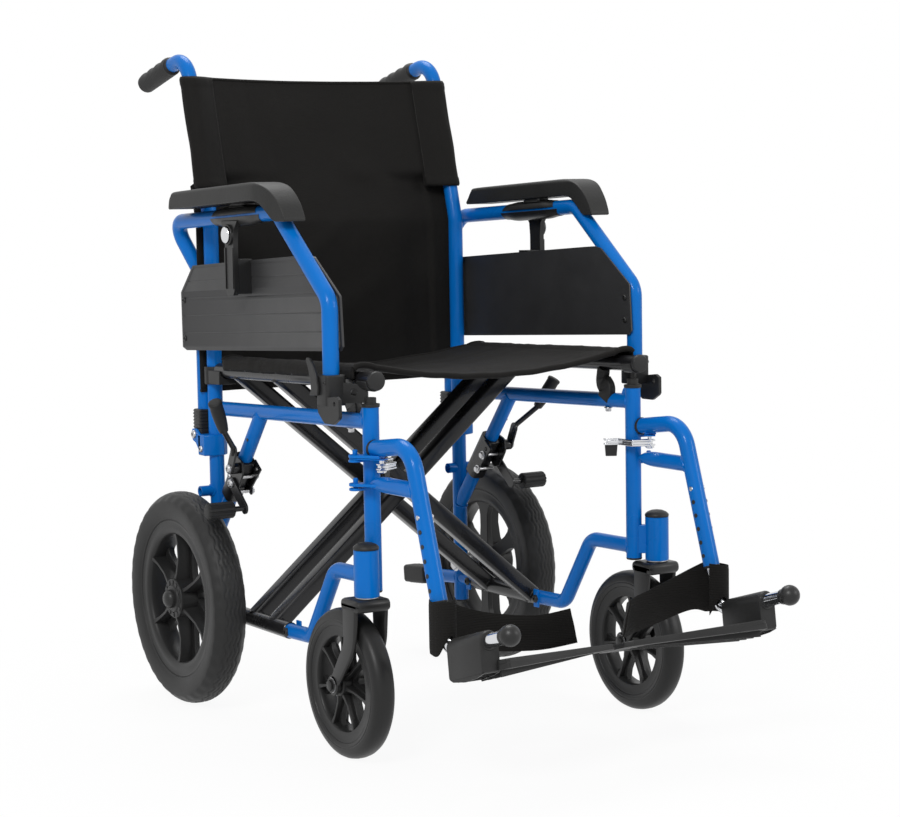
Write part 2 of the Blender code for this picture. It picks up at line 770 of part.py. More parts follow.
def castor_axle():
    outer = CASTOR_HUB_HALF + FORK_GAP + FORK_LEG + FIT

    def along(start, end, radius, sides):
        return bar(
            spot(CASTOR_OUTBOARD + start, CASTOR_AXLE_AHEAD, CASTOR_RADIUS),
            spot(CASTOR_OUTBOARD + end, CASTOR_AXLE_AHEAD, CASTOR_RADIUS),
            radius,
            sides,
        )

    return fused(
        along(-outer - 0.002, outer + 0.002, CASTOR_BOLT, 10),
        along(-outer - 0.005, -outer, 0.0075, 6),
        along(outer, outer + 0.005, 0.0075, 6),
    )


# Cross brace


def brace_member(diagonals, lower_side):
    """One scissor member: its lower tube on one side, two diagonals and the seat rail opposite."""
    lower = lower_side * HALF_FRAME
    upper = -lower
    rail_end = spot(upper, RAIL_TO, rail_up(RAIL_TO))
    ahead_way = Vector((0.0, -1.0, 0.0))
    shapes = [
        bar(spot(lower, BRACE_FROM, BRACE_UP), spot(lower, BRACE_TO, BRACE_UP), BRACE_TUBE),
        bar(spot(upper, RAIL_FROM, rail_up(RAIL_FROM)), rail_end, RAIL),
        bar(rail_end - ahead_way * 0.001, rail_end + ahead_way * RAIL_CAP_LONG, RAIL_CAP),
    ]
    for ahead in diagonals:
        path = [spot(lower, ahead, BRACE_UP), spot(upper, ahead, rail_up(ahead))]
        shapes.append(
            swept(path, DIAGONAL_HALF_WIDE, 8, Vector((0.0, 1.0, 0.0)), DIAGONAL_HALF_DEEP)
        )
    return shapes


def pivot_up():
    """The height where the members cross, half way between the lower tubes and the rails."""
    middle = sum(OUTER_DIAGONALS) / 2
    return (BRACE_UP + rail_up(middle)) / 2


def brace_outer():
    """The member whose diagonals stand outside, with the holes that it turns on."""
    up = pivot_up()
    start = spot(0.0, OUTER_DIAGONALS[0] - 0.05, up)
    end = spot(0.0, OUTER_DIAGONALS[1] + 0.05, up)
    return without(fused(*brace_member(OUTER_DIAGONALS, 1)), bar(start, end, PIVOT_BOLT + FIT, 10))


def brace_inner():
    """The member between them, with the two pins that pass through the outer diagonals."""
    up = pivot_up()
    shapes = brace_member(INNER_DIAGONALS, -1)
    for inner, outer, way in zip(INNER_DIAGONALS, OUTER_DIAGONALS, (-1, 1)):
        end = outer + way * (DIAGONAL_HALF_WIDE + FIT)
        shapes.append(bar(spot(0.0, inner, up), spot(0.0, end + way * 0.002, up), PIVOT_BOLT, 10))
        shapes.append(bar(spot(0.0, end, up), spot(0.0, end + way * 0.005, up), 2 * PIVOT_BOLT, 6))
    return fused(*shapes)


# Cloth


def sheet_between(line, thick):
    """A closed outline from a line of points in a plane, given as (point, normal) pairs."""
    front = [point for point, _ in line]
    back = [point + normal * thick for point, normal in reversed(line)]
    return front + back


def seat_sling():
    rings = []
    stations = ((SEAT_FROM, 0.75), (0.14, 0.95), (0.23, 1.0), (0.33, 1.0), (0.40, 1.05), (SEAT_TO, 1.25))
    wrap = RAIL + FIT
    for ahead, share in stations:
        centre = spot(HALF_FRAME, ahead, rail_up(ahead))
        half = []
        for step in range(7):
            angle = math.radians(-50 + 150 * step / 6)
            out = Vector((math.cos(angle), 0.0, math.sin(angle)))
            half.append((centre + out * wrap, out))
        edge = half[-1][0]
        for step in range(1, 6):
            part = step / 5
            place = Vector((edge.x * (1 - part), edge.y, edge.z - SEAT_SAG * share * (1 - (1 - part) ** 2)))
            slope = -2 * SEAT_SAG * share * (1 - part) / edge.x
            half.append((place, Vector((slope, 0.0, 1.0)).normalized()))
        other = [
            (Vector((-point.x, point.y, point.z)), Vector((-normal.x, normal.y, normal.z)))
            for point, normal in reversed(half[:-1])
        ]
        rings.append(sheet_between(half + other, CLOTH))
    return loft(rings)


def back_panel(foot, top, half_wide, rows):
    rings = []
    for row in range(rows + 1):
        up = foot + (top - foot) * row / rows
        centre = cane_at(up)
        deep = BACK_SAG * (0.55 + 0.45 * (up - BACK_FOOT) / (BACK_TOP - BACK_FOOT))
        line = []
        for step in range(11):
            part = 2 * step / 10 - 1
            bulge = 1 - part * part
            place = Vector((part * half_wide, centre.y + deep * bulge - CLOTH / 2, up))
            slope = -2 * part * deep / half_wide
            line.append((place, Vector((-slope, 1.0, 0.0)).normalized()))
        rings.append(sheet_between(line, CLOTH))
    return loft(rings)


def back_sling():
    sleeve = TUBE + FIT + CLOTH
    low = cane_at(BACK_SLEEVE_FOOT)
    high = cane_at(BACK_TOP)
    run = (high - low).normalized()
    left = bar(low, high, sleeve, 14)
    hole = bar(low - run * 0.02, high + run * 0.02, TUBE + FIT, SIDES)
    narrow = HALF_FRAME - TUBE - BACK_INSET
    whole = fused(
        back_panel(BACK_SLEEVE_FOOT + 0.001, BACK_TOP - 0.001, HALF_FRAME, 4),
        back_panel(BACK_FOOT, BACK_SLEEVE_FOOT + 0.006, narrow, 4),
        left,
        mirrored(left),
    )
    return without(whole, hole, mirrored(hole))


# Armrest


def arm_top(ahead):
    """Height of the armrest's upper tube, which rises towards the front."""
    return ARM_TOP + ARM_RISE * (ahead - ARM_MIDDLE)


def armrest_path():
    rear = ARM_REAR_AHEAD - ARM_CORNER_BEHIND
    front = ARM_FRONT_AHEAD - ARM_SLOPE_LONG
    corners = [
        spot(ARM_LEG_OUTBOARD, ARM_REAR_AHEAD, ARM_REAR_FOOT),
        spot(ARM_LEG_OUTBOARD, ARM_REAR_AHEAD, ARM_TOP - ARM_LEAN_HIGH),
        spot(ARM_OUTBOARD, rear, arm_top(rear)),
        spot(ARM_OUTBOARD, front, arm_top(front)),
        spot(ARM_OUTBOARD, ARM_FRONT_AHEAD, ARM_TOP - ARM_SLOPE_HIGH),
        spot(ARM_OUTBOARD, ARM_FRONT_AHEAD, ARM_SEAT_UP + FIT),
    ]
    path = [corners[0]]
    radii = (0.03, 0.025, 0.03, 0.03)
    for index, radius in enumerate(radii):
        path += rounded(corners[index : index + 3], radius, 3)[1:-1]
    path.append(corners[-1])
    return path


def pad_foot(ahead):
    return arm_top(ahead) + TUBE + PAD_CLEAR


def armrest_pad():
    """A long flat pad that stands clear of the tube, with a narrower nose that turns down in front."""
    inner = ARM_OUTBOARD - PAD_INSET
    nose = PAD_TO - PAD_NOSE_LONG
    stations = [
        (PAD_FROM, 0.0, 0.22, 0.96),
        (PAD_FROM + 0.008, 0.0, 0.72, 1.0),
        (PAD_FROM + 0.0185, 0.0, 1.0, 1.0),
        (nose, 0.0, 1.0, 1.0),
        (nose + 0.278 * PAD_NOSE_LONG, -0.16, 0.887, 0.94),
        (nose + 0.494 * PAD_NOSE_LONG, -0.645, 0.665, 0.87),
        (nose + 0.693 * PAD_NOSE_LONG, -1.117, 0.262, 0.79),
        (nose + 0.849 * PAD_NOSE_LONG, -1.149, -0.20, 0.73),
        (PAD_TO, -1.149, -1.008, 0.67),
    ]
    rings = []
    for ahead, foot, crest, share in stations:
        base = pad_foot(min(ahead, nose))
        low = base + foot * PAD_HIGH
        top = base + crest * PAD_HIGH
        wide = PAD_WIDE * share
        round_off = min(0.0030, 0.4 * (top - low))
        ring = [(0.0, low), (0.0, top - round_off), (round_off, top)]
        ring += [(wide - out, up) for out, up in reversed(ring)]
        rings.append([spot(inner + out, ahead, up) for out, up in ring])
    return loft(rings)


def side_panel():
    """The skirt guard with its T-shaped bracket, which stands outboard of the armrest tube."""
    outer = ARM_OUTBOARD - TUBE - FIT
    inner = outer - PANEL_THICK
    rear = ARM_REAR_AHEAD - PANEL_BEHIND
    front = ARM_FRONT_AHEAD + PANEL_BEYOND
    rear_low = ARM_TOP - PANEL_REAR_DROP
    front_low = ARM_TOP - PANEL_FRONT_DROP
    slope_top = ARM_TOP - ARM_SLOPE_HIGH / 2
    outline = (
        (rear + 0.042, rear_low + 0.1255),
        (rear, rear_low + 0.0855),
        (rear + 0.001, rear_low + 0.0045),
        (rear + 0.015, rear_low),
        (front - 0.024, front_low),
        (front, front_low + 0.0135),
        (front - 0.0045, slope_top - 0.049),
        (front - ARM_SLOPE_LONG / 2 - 0.00275, slope_top + 0.001),
        (front - ARM_SLOPE_LONG / 2 - 0.01975, slope_top + 0.0035),
    )
    guard = slab([spot(inner, ahead, up) for ahead, up in outline], Vector((PANEL_THICK, 0.0, 0.0)))
    face = ARM_OUTBOARD + TUBE + FIT
    stem_foot = ARM_TOP - ARM_SLOPE_HIGH
    half = STEM_HALF_WIDE
    tee_rear = STEM_AHEAD - 4.4 * half
    tee_front = STEM_AHEAD + 3.47 * half
    seat_rear = STEM_AHEAD - PAD_SEAT_HALF_LONG
    seat_front = STEM_AHEAD + PAD_SEAT_HALF_LONG
    tee = [
        (tee_rear, arm_top(tee_rear) + TUBE - FIT),
        (tee_rear, arm_top(tee_rear) - TUBE + 0.004),
        (STEM_AHEAD - half, arm_top(STEM_AHEAD - half) - TUBE),
        (STEM_AHEAD - half, stem_foot),
        (STEM_AHEAD + half, stem_foot),
        (STEM_AHEAD + half, arm_top(STEM_AHEAD + half) - TUBE),
        (tee_front, arm_top(tee_front) - TUBE + 0.004),
        (tee_front, arm_top(tee_front) + TUBE - FIT),
        (seat_front, arm_top(seat_front) + TUBE - FIT),
        (seat_front, pad_foot(seat_front) - 2 * FIT),
        (seat_rear, pad_foot(seat_rear) - 2 * FIT),
        (seat_rear, arm_top(seat_rear) + TUBE - FIT),
    ]
    plate = slab([spot(face, ahead, up) for ahead, up in tee], Vector((STEM_PLATE, 0.0, 0.0)))
    seat = [
        (seat_rear + 0.001, arm_top(seat_rear) + TUBE + FIT),
        (seat_front - 0.001, arm_top(seat_front) + TUBE + FIT),
        (seat_front - 0.001, pad_foot(seat_front) - FIT),
        (seat_rear + 0.001, pad_foot(seat_rear) - FIT),
    ]
    seat_inner = ARM_OUTBOARD - 0.6 * PAD_INSET
    carrier = slab(
        [spot(seat_inner, ahead, up) for ahead, up in seat],
        Vector((face + 0.5 * STEM_PLATE - seat_inner, 0.0, 0.0)),
    )
    wide = 0.88 * half
    bridge = box(
        (inner + 0.001, face + 0.001),
        (STEM_AHEAD - wide, STEM_AHEAD + wide),
        (stem_foot + 0.002, stem_foot + 0.050),
    )
    hole = spot(face - 0.0005, STEM_AHEAD, BUTTON_UP)
    cutter = bar(hole, hole + Vector((0.02, 0.0, 0.0)), BUTTON_SHAFT + FIT, 12)
    return without(fused(guard, bridge, plate, carrier), cutter)


def armrest_button():
    face = ARM_OUTBOARD + TUBE + FIT + STEM_PLATE
    start = face + BUTTON_TRAVEL + FIT
    shaft = spot(face - STEM_PLATE + BUTTON_TRAVEL + FIT - 0.0004, STEM_AHEAD, BUTTON_UP)
    head = spot(start, STEM_AHEAD, BUTTON_UP)
    return fused(
        bar(shaft, head + Vector((0.001, 0.0, 0.0)), BUTTON_SHAFT, 12),
        bar(head, head + Vector((0.0035, 0.0, 0.0)), BUTTON, 14),
    )


def rear_socket():
    """The sleeve on the foot of the armrest's rear leg. Its lower end is round about the pin."""
    inner = ARM_LEG_OUTBOARD - ARM_SLEEVE_HALF_WIDE
    outer = ARM_LEG_OUTBOARD + ARM_SLEEVE_HALF_WIDE
    half = ARM_SLEEVE_HALF_LONG
    ahead = ARM_REAR_AHEAD
    top = ARM_PIVOT_UP + ARM_SLEEVE_HIGH
    tube = spot(ARM_LEG_OUTBOARD, ahead, ARM_REAR_FOOT - FIT)
    pin = (spot(inner, ahead, ARM_PIVOT_UP), spot(outer, ahead, ARM_PIVOT_UP))
    beyond = Vector((0.01, 0.0, 0.0))
    return without(
        fused(bar(*pin, half, 16), box((inner, outer), (ahead - half, ahead + half), (ARM_PIVOT_UP, top))),
        bar(tube, spot(ARM_LEG_OUTBOARD, ahead, top + 0.01), TUBE + FIT),
        bar(pin[0] - beyond, pin[1] + beyond, ARM_PIN + FIT, 10),
    )


def rail_channel(start, end):
    """What a cradle leaves open for the rail to lift out of."""
    wide = RAIL + 1.5 * FIT
    bed_start = spot(HALF_FRAME, start, rail_up(start) - FIT)
    bed_end = spot(HALF_FRAME, end, rail_up(end) - FIT)
    up = rail_up((start + end) / 2)
    across = (HALF_FRAME - 0.98 * wide, HALF_FRAME + 0.98 * wide)
    return [bar(bed_start, bed_end, wide), box(across, (start, end), (up - 0.002, up + 0.03))]


def front_socket():
    plane = HALF_FRAME
    foot = POST_TOP + FIT
    collar_foot = spot(ARM_OUTBOARD, ARM_FRONT_AHEAD, COLLAR_FOOT)
    low = foot + 0.006
    cradle_from = POST_AHEAD - 0.012
    arm = [
        spot(plane + 0.004, POST_AHEAD + TUBE, low),
        spot(plane + 0.004, POST_AHEAD - 1.2 * TUBE, low),
        spot(ARM_OUTBOARD - 0.006, ARM_FRONT_AHEAD - 0.008, low),
        spot(ARM_OUTBOARD + 0.006, ARM_FRONT_AHEAD + 0.010, low),
    ]
    shapes = [
        box(
            (plane - CRADLE_HALF, plane + CRADLE_HALF),
            (cradle_from, cradle_from + CRADLE_LONG),
            (foot + 0.005, rail_up(POST_AHEAD)),
        ),
        bar(spot(plane, POST_AHEAD, foot), spot(plane, POST_AHEAD, foot + 0.010), TUBE),
        bar(collar_foot, spot(ARM_OUTBOARD, ARM_FRONT_AHEAD, COLLAR_TOP), COLLAR),
        slab(arm, Vector((0.0, 0.0, 0.014))),
        box(
            (ARM_OUTBOARD - 0.004, ARM_OUTBOARD + 0.004),
            (ARM_FRONT_AHEAD - 1.1 * COLLAR, ARM_FRONT_AHEAD + 1.3 * COLLAR),
            (COLLAR_FOOT - 0.026, COLLAR_FOOT + 0.004),
        ),
    ]
    recess = spot(ARM_OUTBOARD, ARM_FRONT_AHEAD, ARM_SEAT_UP)
    pivot = spot(ARM_OUTBOARD + 0.5 * COLLAR, *SOCKET_LEVER_PIVOT)
    return without(
        fused(*shapes, bar(pivot, spot(ARM_OUTBOARD + COLLAR + 0.006, *SOCKET_LEVER_PIVOT), 0.003, 10)),
        bar(recess, recess + Vector((0.0, 0.0, 0.02)), TUBE + 3 * FIT),
        *rail_channel(POST_AHEAD - 2 * CRADLE_LONG, POST_AHEAD + 2 * CRADLE_LONG),
    )


def socket_lever():
    start = ARM_OUTBOARD + COLLAR + FIT
    ahead, up = SOCKET_LEVER_PIVOT
    outline = (
        (ahead + 0.006, up - 0.005),
        (ahead + 0.007, up + 0.004),
        (ahead + 0.001, up + 0.014),
        (ahead - 0.010, up + 0.030),
        (ahead - 0.020, up + 0.038),
        (ahead - 0.023, up + 0.034),
        (ahead - 0.014, up + 0.022),
        (ahead - 0.007, up + 0.006),
        (ahead - 0.005, up - 0.005),
    )
    plate = slab([spot(start, *place) for place in outline], Vector((0.004, 0.0, 0.0)))
    hole = spot(start - 0.01, ahead, up)
    return without(plate, bar(hole, hole + Vector((0.03, 0.0, 0.0)), 0.003 + FIT, 10))


def seat_saddle():
    plane = HALF_FRAME
    low = cane_at(RAIL_UP - 0.0205)
    high = cane_at(RAIL_UP + 0.0055)
    reach = Vector((0.0, 0.0, 2 * CRADLE_LONG))
    cradle = box(
        (plane - CRADLE_HALF, plane + CRADLE_HALF),
        (RAIL_FROM - 0.015, RAIL_FROM + 0.025),
        (RAIL_UP - POST_BELOW_RAIL, rail_up(RAIL_FROM)),
    )
    return without(
        fused(bar(low, high, TUBE + 0.0034), cradle),
        bar(low - reach, high + reach, TUBE + FIT),
        *rail_channel(RAIL_FROM - 0.002, RAIL_FROM + 0.043),
    )


# Legrest


def legrest_bush():
    """The thin plate between the frame's upper tab and the hanger's, with the pin for the latch."""
    foot = UPPER_TAB_UP + TAB_THICK + FIT
    up = Vector((0.0, 0.0, 1.0))
    wide = BUSH_HALF_WIDE
    end_outboard = LEG_OUTBOARD - 0.45 * wide
    end_ahead = LATCH_AHEAD + 0.65 * wide
    plate = disc_plate(PIN_OUTBOARD, LEG_PIN_AHEAD, wide, end_outboard, end_ahead, wide, foot, BUSH_HIGH)
    top = spot(LEG_OUTBOARD, LATCH_AHEAD, foot + BUSH_HIGH / 2)
    head = spot(LEG_OUTBOARD, LATCH_AHEAD, LATCH_UP - FIT)
    pin = bar(top, head - up * 0.001, LATCH_PIN, 10)
    pin_head = bar(head, head - up * 0.003, LATCH_HEAD, 12)
    hole = spot(PIN_OUTBOARD, LEG_PIN_AHEAD, foot - 0.01)
    return without(fused(plate, pin, pin_head), bar(hole, hole + up * 0.02, LEG_PIN + FIT, 10))


def hanger_path():
    foot = spot(LEG_OUTBOARD, *HANGER_FOOT)
    corners = [
        spot(LEG_OUTBOARD, POST_AHEAD + TUBE + HANGER_GAP, HANGER_UP),
        spot(LEG_OUTBOARD, *HANGER_KNEE),
        foot,
    ]
    return rounded(corners, HANGER_BEND, 5)


def legrest_hanger():
    start = POST_AHEAD + TUBE + HANGER_GAP
    plate_end = start + 2 * TUBE
    knee = Vector(HANGER_KNEE)
    below = knee + HANGER_RUN * 0.058
    lower_start = spot(LEG_OUTBOARD, start + 0.012, LOWER_PLATE_UP + 0.002)
    shapes = [
        swept(hanger_path(), TUBE),
        bar(lower_start, spot(LEG_OUTBOARD, below.x, below.y), JOINED_TUBE),
    ]
    wide = 0.0085
    for plate_up in (UPPER_PLATE_UP, LOWER_PLATE_UP):
        shapes.append(
            disc_plate(PIN_OUTBOARD, LEG_PIN_AHEAD, wide, LEG_OUTBOARD, plate_end, wide, plate_up, 0.0040)
        )
    run = spot(0.0, HANGER_RUN.x, HANGER_RUN.y) - spot(0.0, 0.0, 0.0)
    foot = spot(LEG_OUTBOARD, *HANGER_FOOT)
    post = spot(HALF_FRAME, POST_AHEAD, 0.3)
    cutters = [
        bar(foot + run * 0.01, foot - run * (FOOT_INSIDE + 0.004), FOOT_TUBE + FIT),
        bar(post, post + Vector((0.0, 0.0, 0.2)), TUBE + 0.0012, 16),
    ]
    for plate_up in (UPPER_PLATE_UP, LOWER_PLATE_UP):
        pin = spot(PIN_OUTBOARD, LEG_PIN_AHEAD, plate_up - 0.004)
        cutters.append(bar(pin, pin + Vector((0.0, 0.0, 0.02)), LEG_PIN + FIT, 10))
    return without(fused(*shapes), *cutters)


def legrest_latch():
    foot = LATCH_UP
    outline = (
        (LEG_OUTBOARD + 0.006, LATCH_AHEAD - 0.004),
        (LEG_OUTBOARD + 0.006, LATCH_AHEAD + 0.005),
        (LEG_OUTBOARD - 0.004, LATCH_AHEAD + 0.007),
        (HALF_FRAME - 0.022, LATCH_AHEAD - 0.006),
        (HALF_FRAME - 0.024, POST_AHEAD - 0.004),
        (HALF_FRAME - 0.040, POST_AHEAD - 0.012),
        (HALF_FRAME - 0.038, POST_AHEAD - 0.019),
        (HALF_FRAME - 0.016, POST_AHEAD - 0.010),
        (HALF_FRAME - 0.015, LATCH_AHEAD - 0.013),
    )
    plate = slab([spot(out, ahead, foot) for out, ahead in outline], Vector((0.0, 0.0, LATCH_THICK)))
    hole = spot(LEG_OUTBOARD, LATCH_AHEAD, foot - 0.01)
    return without(plate, bar(hole, hole + Vector((0.0, 0.0, 0.03)), LATCH_PIN + FIT, 10))


def footrest_tube():
    foot = Vector(HANGER_FOOT) - HANGER_RUN * FOOT_INSIDE
    end = FOOT_AT + FOOT_RUN * (FOOT_REACH - 0.004)
    corners = [spot(LEG_OUTBOARD, *foot), spot(LEG_OUTBOARD, *FOOT_AT), spot(LEG_OUTBOARD, *end)]
    return swept(rounded(corners, FOOT_BEND, 5), FOOT_TUBE, 12)


def footrest_knob():
    centre = spot(LEG_OUTBOARD, *KNOB_AT)
    start = foot_spot(LEG_OUTBOARD, FOOT_REACH - 2 * KNOB, 0.0)
    end = foot_spot(LEG_OUTBOARD, FOOT_REACH - 0.004 + FIT, 0.0)
    return without(ball(centre, KNOB), bar(start, end, FOOT_TUBE + FIT, 12))


def footplate():
    low = LEG_OUTBOARD - BLOCK_HALF_WIDE
    wide = 2 * BLOCK_HALF_WIDE
    side = (
        (BLOCK_FROM, PLATE_FOOT),
        (BLOCK_TO - 0.004, PLATE_FOOT),
        (BLOCK_TO, PLATE_FOOT + 0.006),
        (BLOCK_TO, BLOCK_TOP),
        (BLOCK_FROM + 0.004, BLOCK_TOP),
        (BLOCK_FROM, BLOCK_TOP - 0.006),
    )
    hinge = slab([foot_spot(low, *place) for place in side], Vector((wide, 0.0, 0.0)))
    outline = (
        (LEG_OUTBOARD - 0.008, 0.100),
        (LEG_OUTBOARD - 0.016, 0.112),
        (PLATE_GAP + 0.043, 0.066),
        (PLATE_GAP + 0.006, 0.052),
        (PLATE_GAP, 0.040),
        (PLATE_GAP, 0.004),
        (PLATE_GAP + 0.012, -0.014),
        (PLATE_GAP + 0.053, -0.026),
        (LEG_OUTBOARD - 0.028, -0.006),
        (LEG_OUTBOARD - 0.008, 0.010),
    )
    faces = [[foot_spot(*place, above) for place in outline] for above in (PLATE_FOOT + 0.001, PLATE_TOP)]
    hole = bar(foot_spot(LEG_OUTBOARD, 0.0, 0.0), foot_spot(LEG_OUTBOARD, FOOT_REACH, 0.0), FOOT_TUBE + FIT)
    return without(fused(hinge, loft(faces)), hole)


def heel_strap():
    """A loop round the footrest tube and a band to the inner rear corner of the plate."""
    run = spot(0.0, HANGER_RUN.x, HANGER_RUN.y) - spot(0.0, 0.0, 0.0)
    foot = spot(LEG_OUTBOARD, *HANGER_FOOT)
    loop = FOOT_TUBE + FIT + CLOTH
    outer = bar(foot + run * 0.004, foot + run * (FOOT_CORNER - FOOT_BEND - 0.003), loop)
    inner = bar(foot - run * 0.02, foot + run * FOOT_CORNER, FOOT_TUBE + FIT)
    back = HANGER_FOOT[0] + HANGER_RUN.x * 0.02 - FOOT_TUBE - 2 * FIT
    plan = (
        (LEG_OUTBOARD + 0.002, back - 0.001),
        (LEG_OUTBOARD - 0.020, back - 0.013),
        (0.150, back - 0.022),
        (0.105, back - 0.016),
        (0.070, back + 0.010),
        (PLATE_GAP + 0.040, back + 0.046),
    )
    line = [Vector((out, ahead)) for out, ahead in plan]
    rings = []
    for index, place in enumerate(line):
        along = (line[min(index + 1, len(line) - 1)] - line[max(index - 1, 0)]).normalized()
        across = Vector((-along.y, along.x)) * CLOTH / 2
        part = index / (len(line) - 1)
        foot_up = STRAP_FOOT + STRAP_RISE * (1 - part) - 0.006 * math.sin(math.pi * part)
        ring = []
        for shift, up in ((-1, 0.0), (1, 0.0), (1, STRAP_HIGH), (-1, STRAP_HIGH)):
            edge = place + across * shift
            ring.append(spot(edge.x, edge.y, foot_up + up))
        rings.append(ring)
    return without(fused(outer, loft(rings)), inner)


# Brake


def brake_bracket():
    low = spot(HALF_FRAME, STRUT_AHEAD, side_tube_up(STRUT_AHEAD))
    high = spot(HALF_FRAME, CANE_AHEAD, STRUT_FOOT)
    clamp = bar(low.lerp(high, 0.40), low.lerp(high, 0.68), JOINED_TUBE + 0.0036)
    face = HALF_FRAME + TUBE + 0.001
    pivot = Vector(BRAKE_PIVOT)
    outline = (
        (SHOE_PIVOT.x - 0.020, SHOE_PIVOT.y + 0.008),
        (SHOE_PIVOT.x - 0.010, SHOE_PIVOT.y + 0.040),
        (pivot.x - 0.006, pivot.y + 0.016),
        (pivot.x + 0.010, pivot.y + 0.010),
        (pivot.x + 0.012, pivot.y - 0.008),
        (SHOE_PIVOT.x + 0.012, SHOE_PIVOT.y - 0.010),
        (SHOE_PIVOT.x - 0.004, SHOE_PIVOT.y - 0.012),
    )
    shapes = [clamp, slab([spot(face, *place) for place in outline], Vector((BRAKE_PLATE, 0.0, 0.0)))]
    for place, long in ((pivot, BRAKE_STAND + 0.009), (SHOE_PIVOT, 0.010)):
        start = spot(face + 0.001, *place)
        shapes.append(bar(start, start + Vector((long, 0.0, 0.0)), BRAKE_PIN, 10))
    return without(fused(*shapes), bar(low, high, JOINED_TUBE + FIT))


def brake_arm(start, end, radius, face):
    """A flat link with round ends, seen from outboard."""
    along = (end - start).normalized()
    first = math.atan2(along.y, along.x) + math.pi / 2
    outline = []
    for centre, begin in ((start, first), (end, first + math.pi)):
        for step in range(7):
            angle = begin + math.pi * step / 6
            outline.append(centre + Vector((math.cos(angle), math.sin(angle))) * radius)
    return slab([spot(face, *place) for place in outline], Vector((BRAKE_PLATE, 0.0, 0.0)))


def brake_layer():
    return HALF_FRAME + TUBE + 0.001 + BRAKE_PLATE + FIT


def brake_lever():
    """A boss on its pin, a flat link that stands outboard of the bracket, a bent rod and the grip."""
    pivot = Vector(BRAKE_PIVOT)
    layer = brake_layer()
    face = layer + BRAKE_STAND
    elbow = pivot + Vector(BRAKE_ELBOW)
    boss = bar(spot(layer, *pivot), spot(face + 0.001, *pivot), 0.008, 12)
    link = brake_arm(pivot, elbow, 0.008, face)
    outboard = HALF_FRAME + GRIP_START[0] + TUBE + 0.006
    grip_from = spot(outboard, pivot.x + GRIP_START[1], pivot.y + GRIP_START[2])
    grip_run = Vector((GRIP_RUN[0], -GRIP_RUN[1], GRIP_RUN[2]))
    corners = [
        spot(face + 0.0015, elbow.x - 0.003, elbow.y - 0.006),
        spot(face + 0.004, elbow.x + 0.003, elbow.y + 0.005),
        grip_from,
        grip_from + grip_run * 0.3,
    ]
    stations = ((0.0, 0.72), (0.08, 0.96), (0.78, 1.0), (0.94, 0.97), (1.0, 0.72))
    grip = [grip_from + grip_run * part for part, _ in stations]
    rubber = swept(grip, [LEVER_GRIP * size for _, size in stations], 10)
    hole = spot(layer - 0.01, *pivot)
    cutter = bar(hole, hole + Vector((0.04, 0.0, 0.0)), BRAKE_PIN + FIT, 10)
    return without(fused(boss, link, swept(rounded(corners, 0.007, 2), ROD, 8), rubber), cutter)


def brake_shoe():
    face = brake_layer()
    link = brake_arm(Vector(SHOE_PIVOT), Vector(SHOE_AT), 0.0085, face)
    shaft = bar(spot(face + 0.001, *SHOE_AT), spot(REAR_OUTBOARD, *SHOE_AT), ROD, 10)
    roller_from = spot(REAR_OUTBOARD - SHOE_HALF_LONG, *SHOE_AT)
    roller_to = spot(REAR_OUTBOARD + SHOE_HALF_LONG, *SHOE_AT)
    roller = bar(roller_from, roller_to, SHOE, 14)
    hole = spot(face - 0.01, *SHOE_PIVOT)
    through = Vector((0.03, 0.0, 0.0))
    return without(fused(link, shaft, roller), bar(hole, hole + through, BRAKE_PIN + FIT, 10))


# Assembly


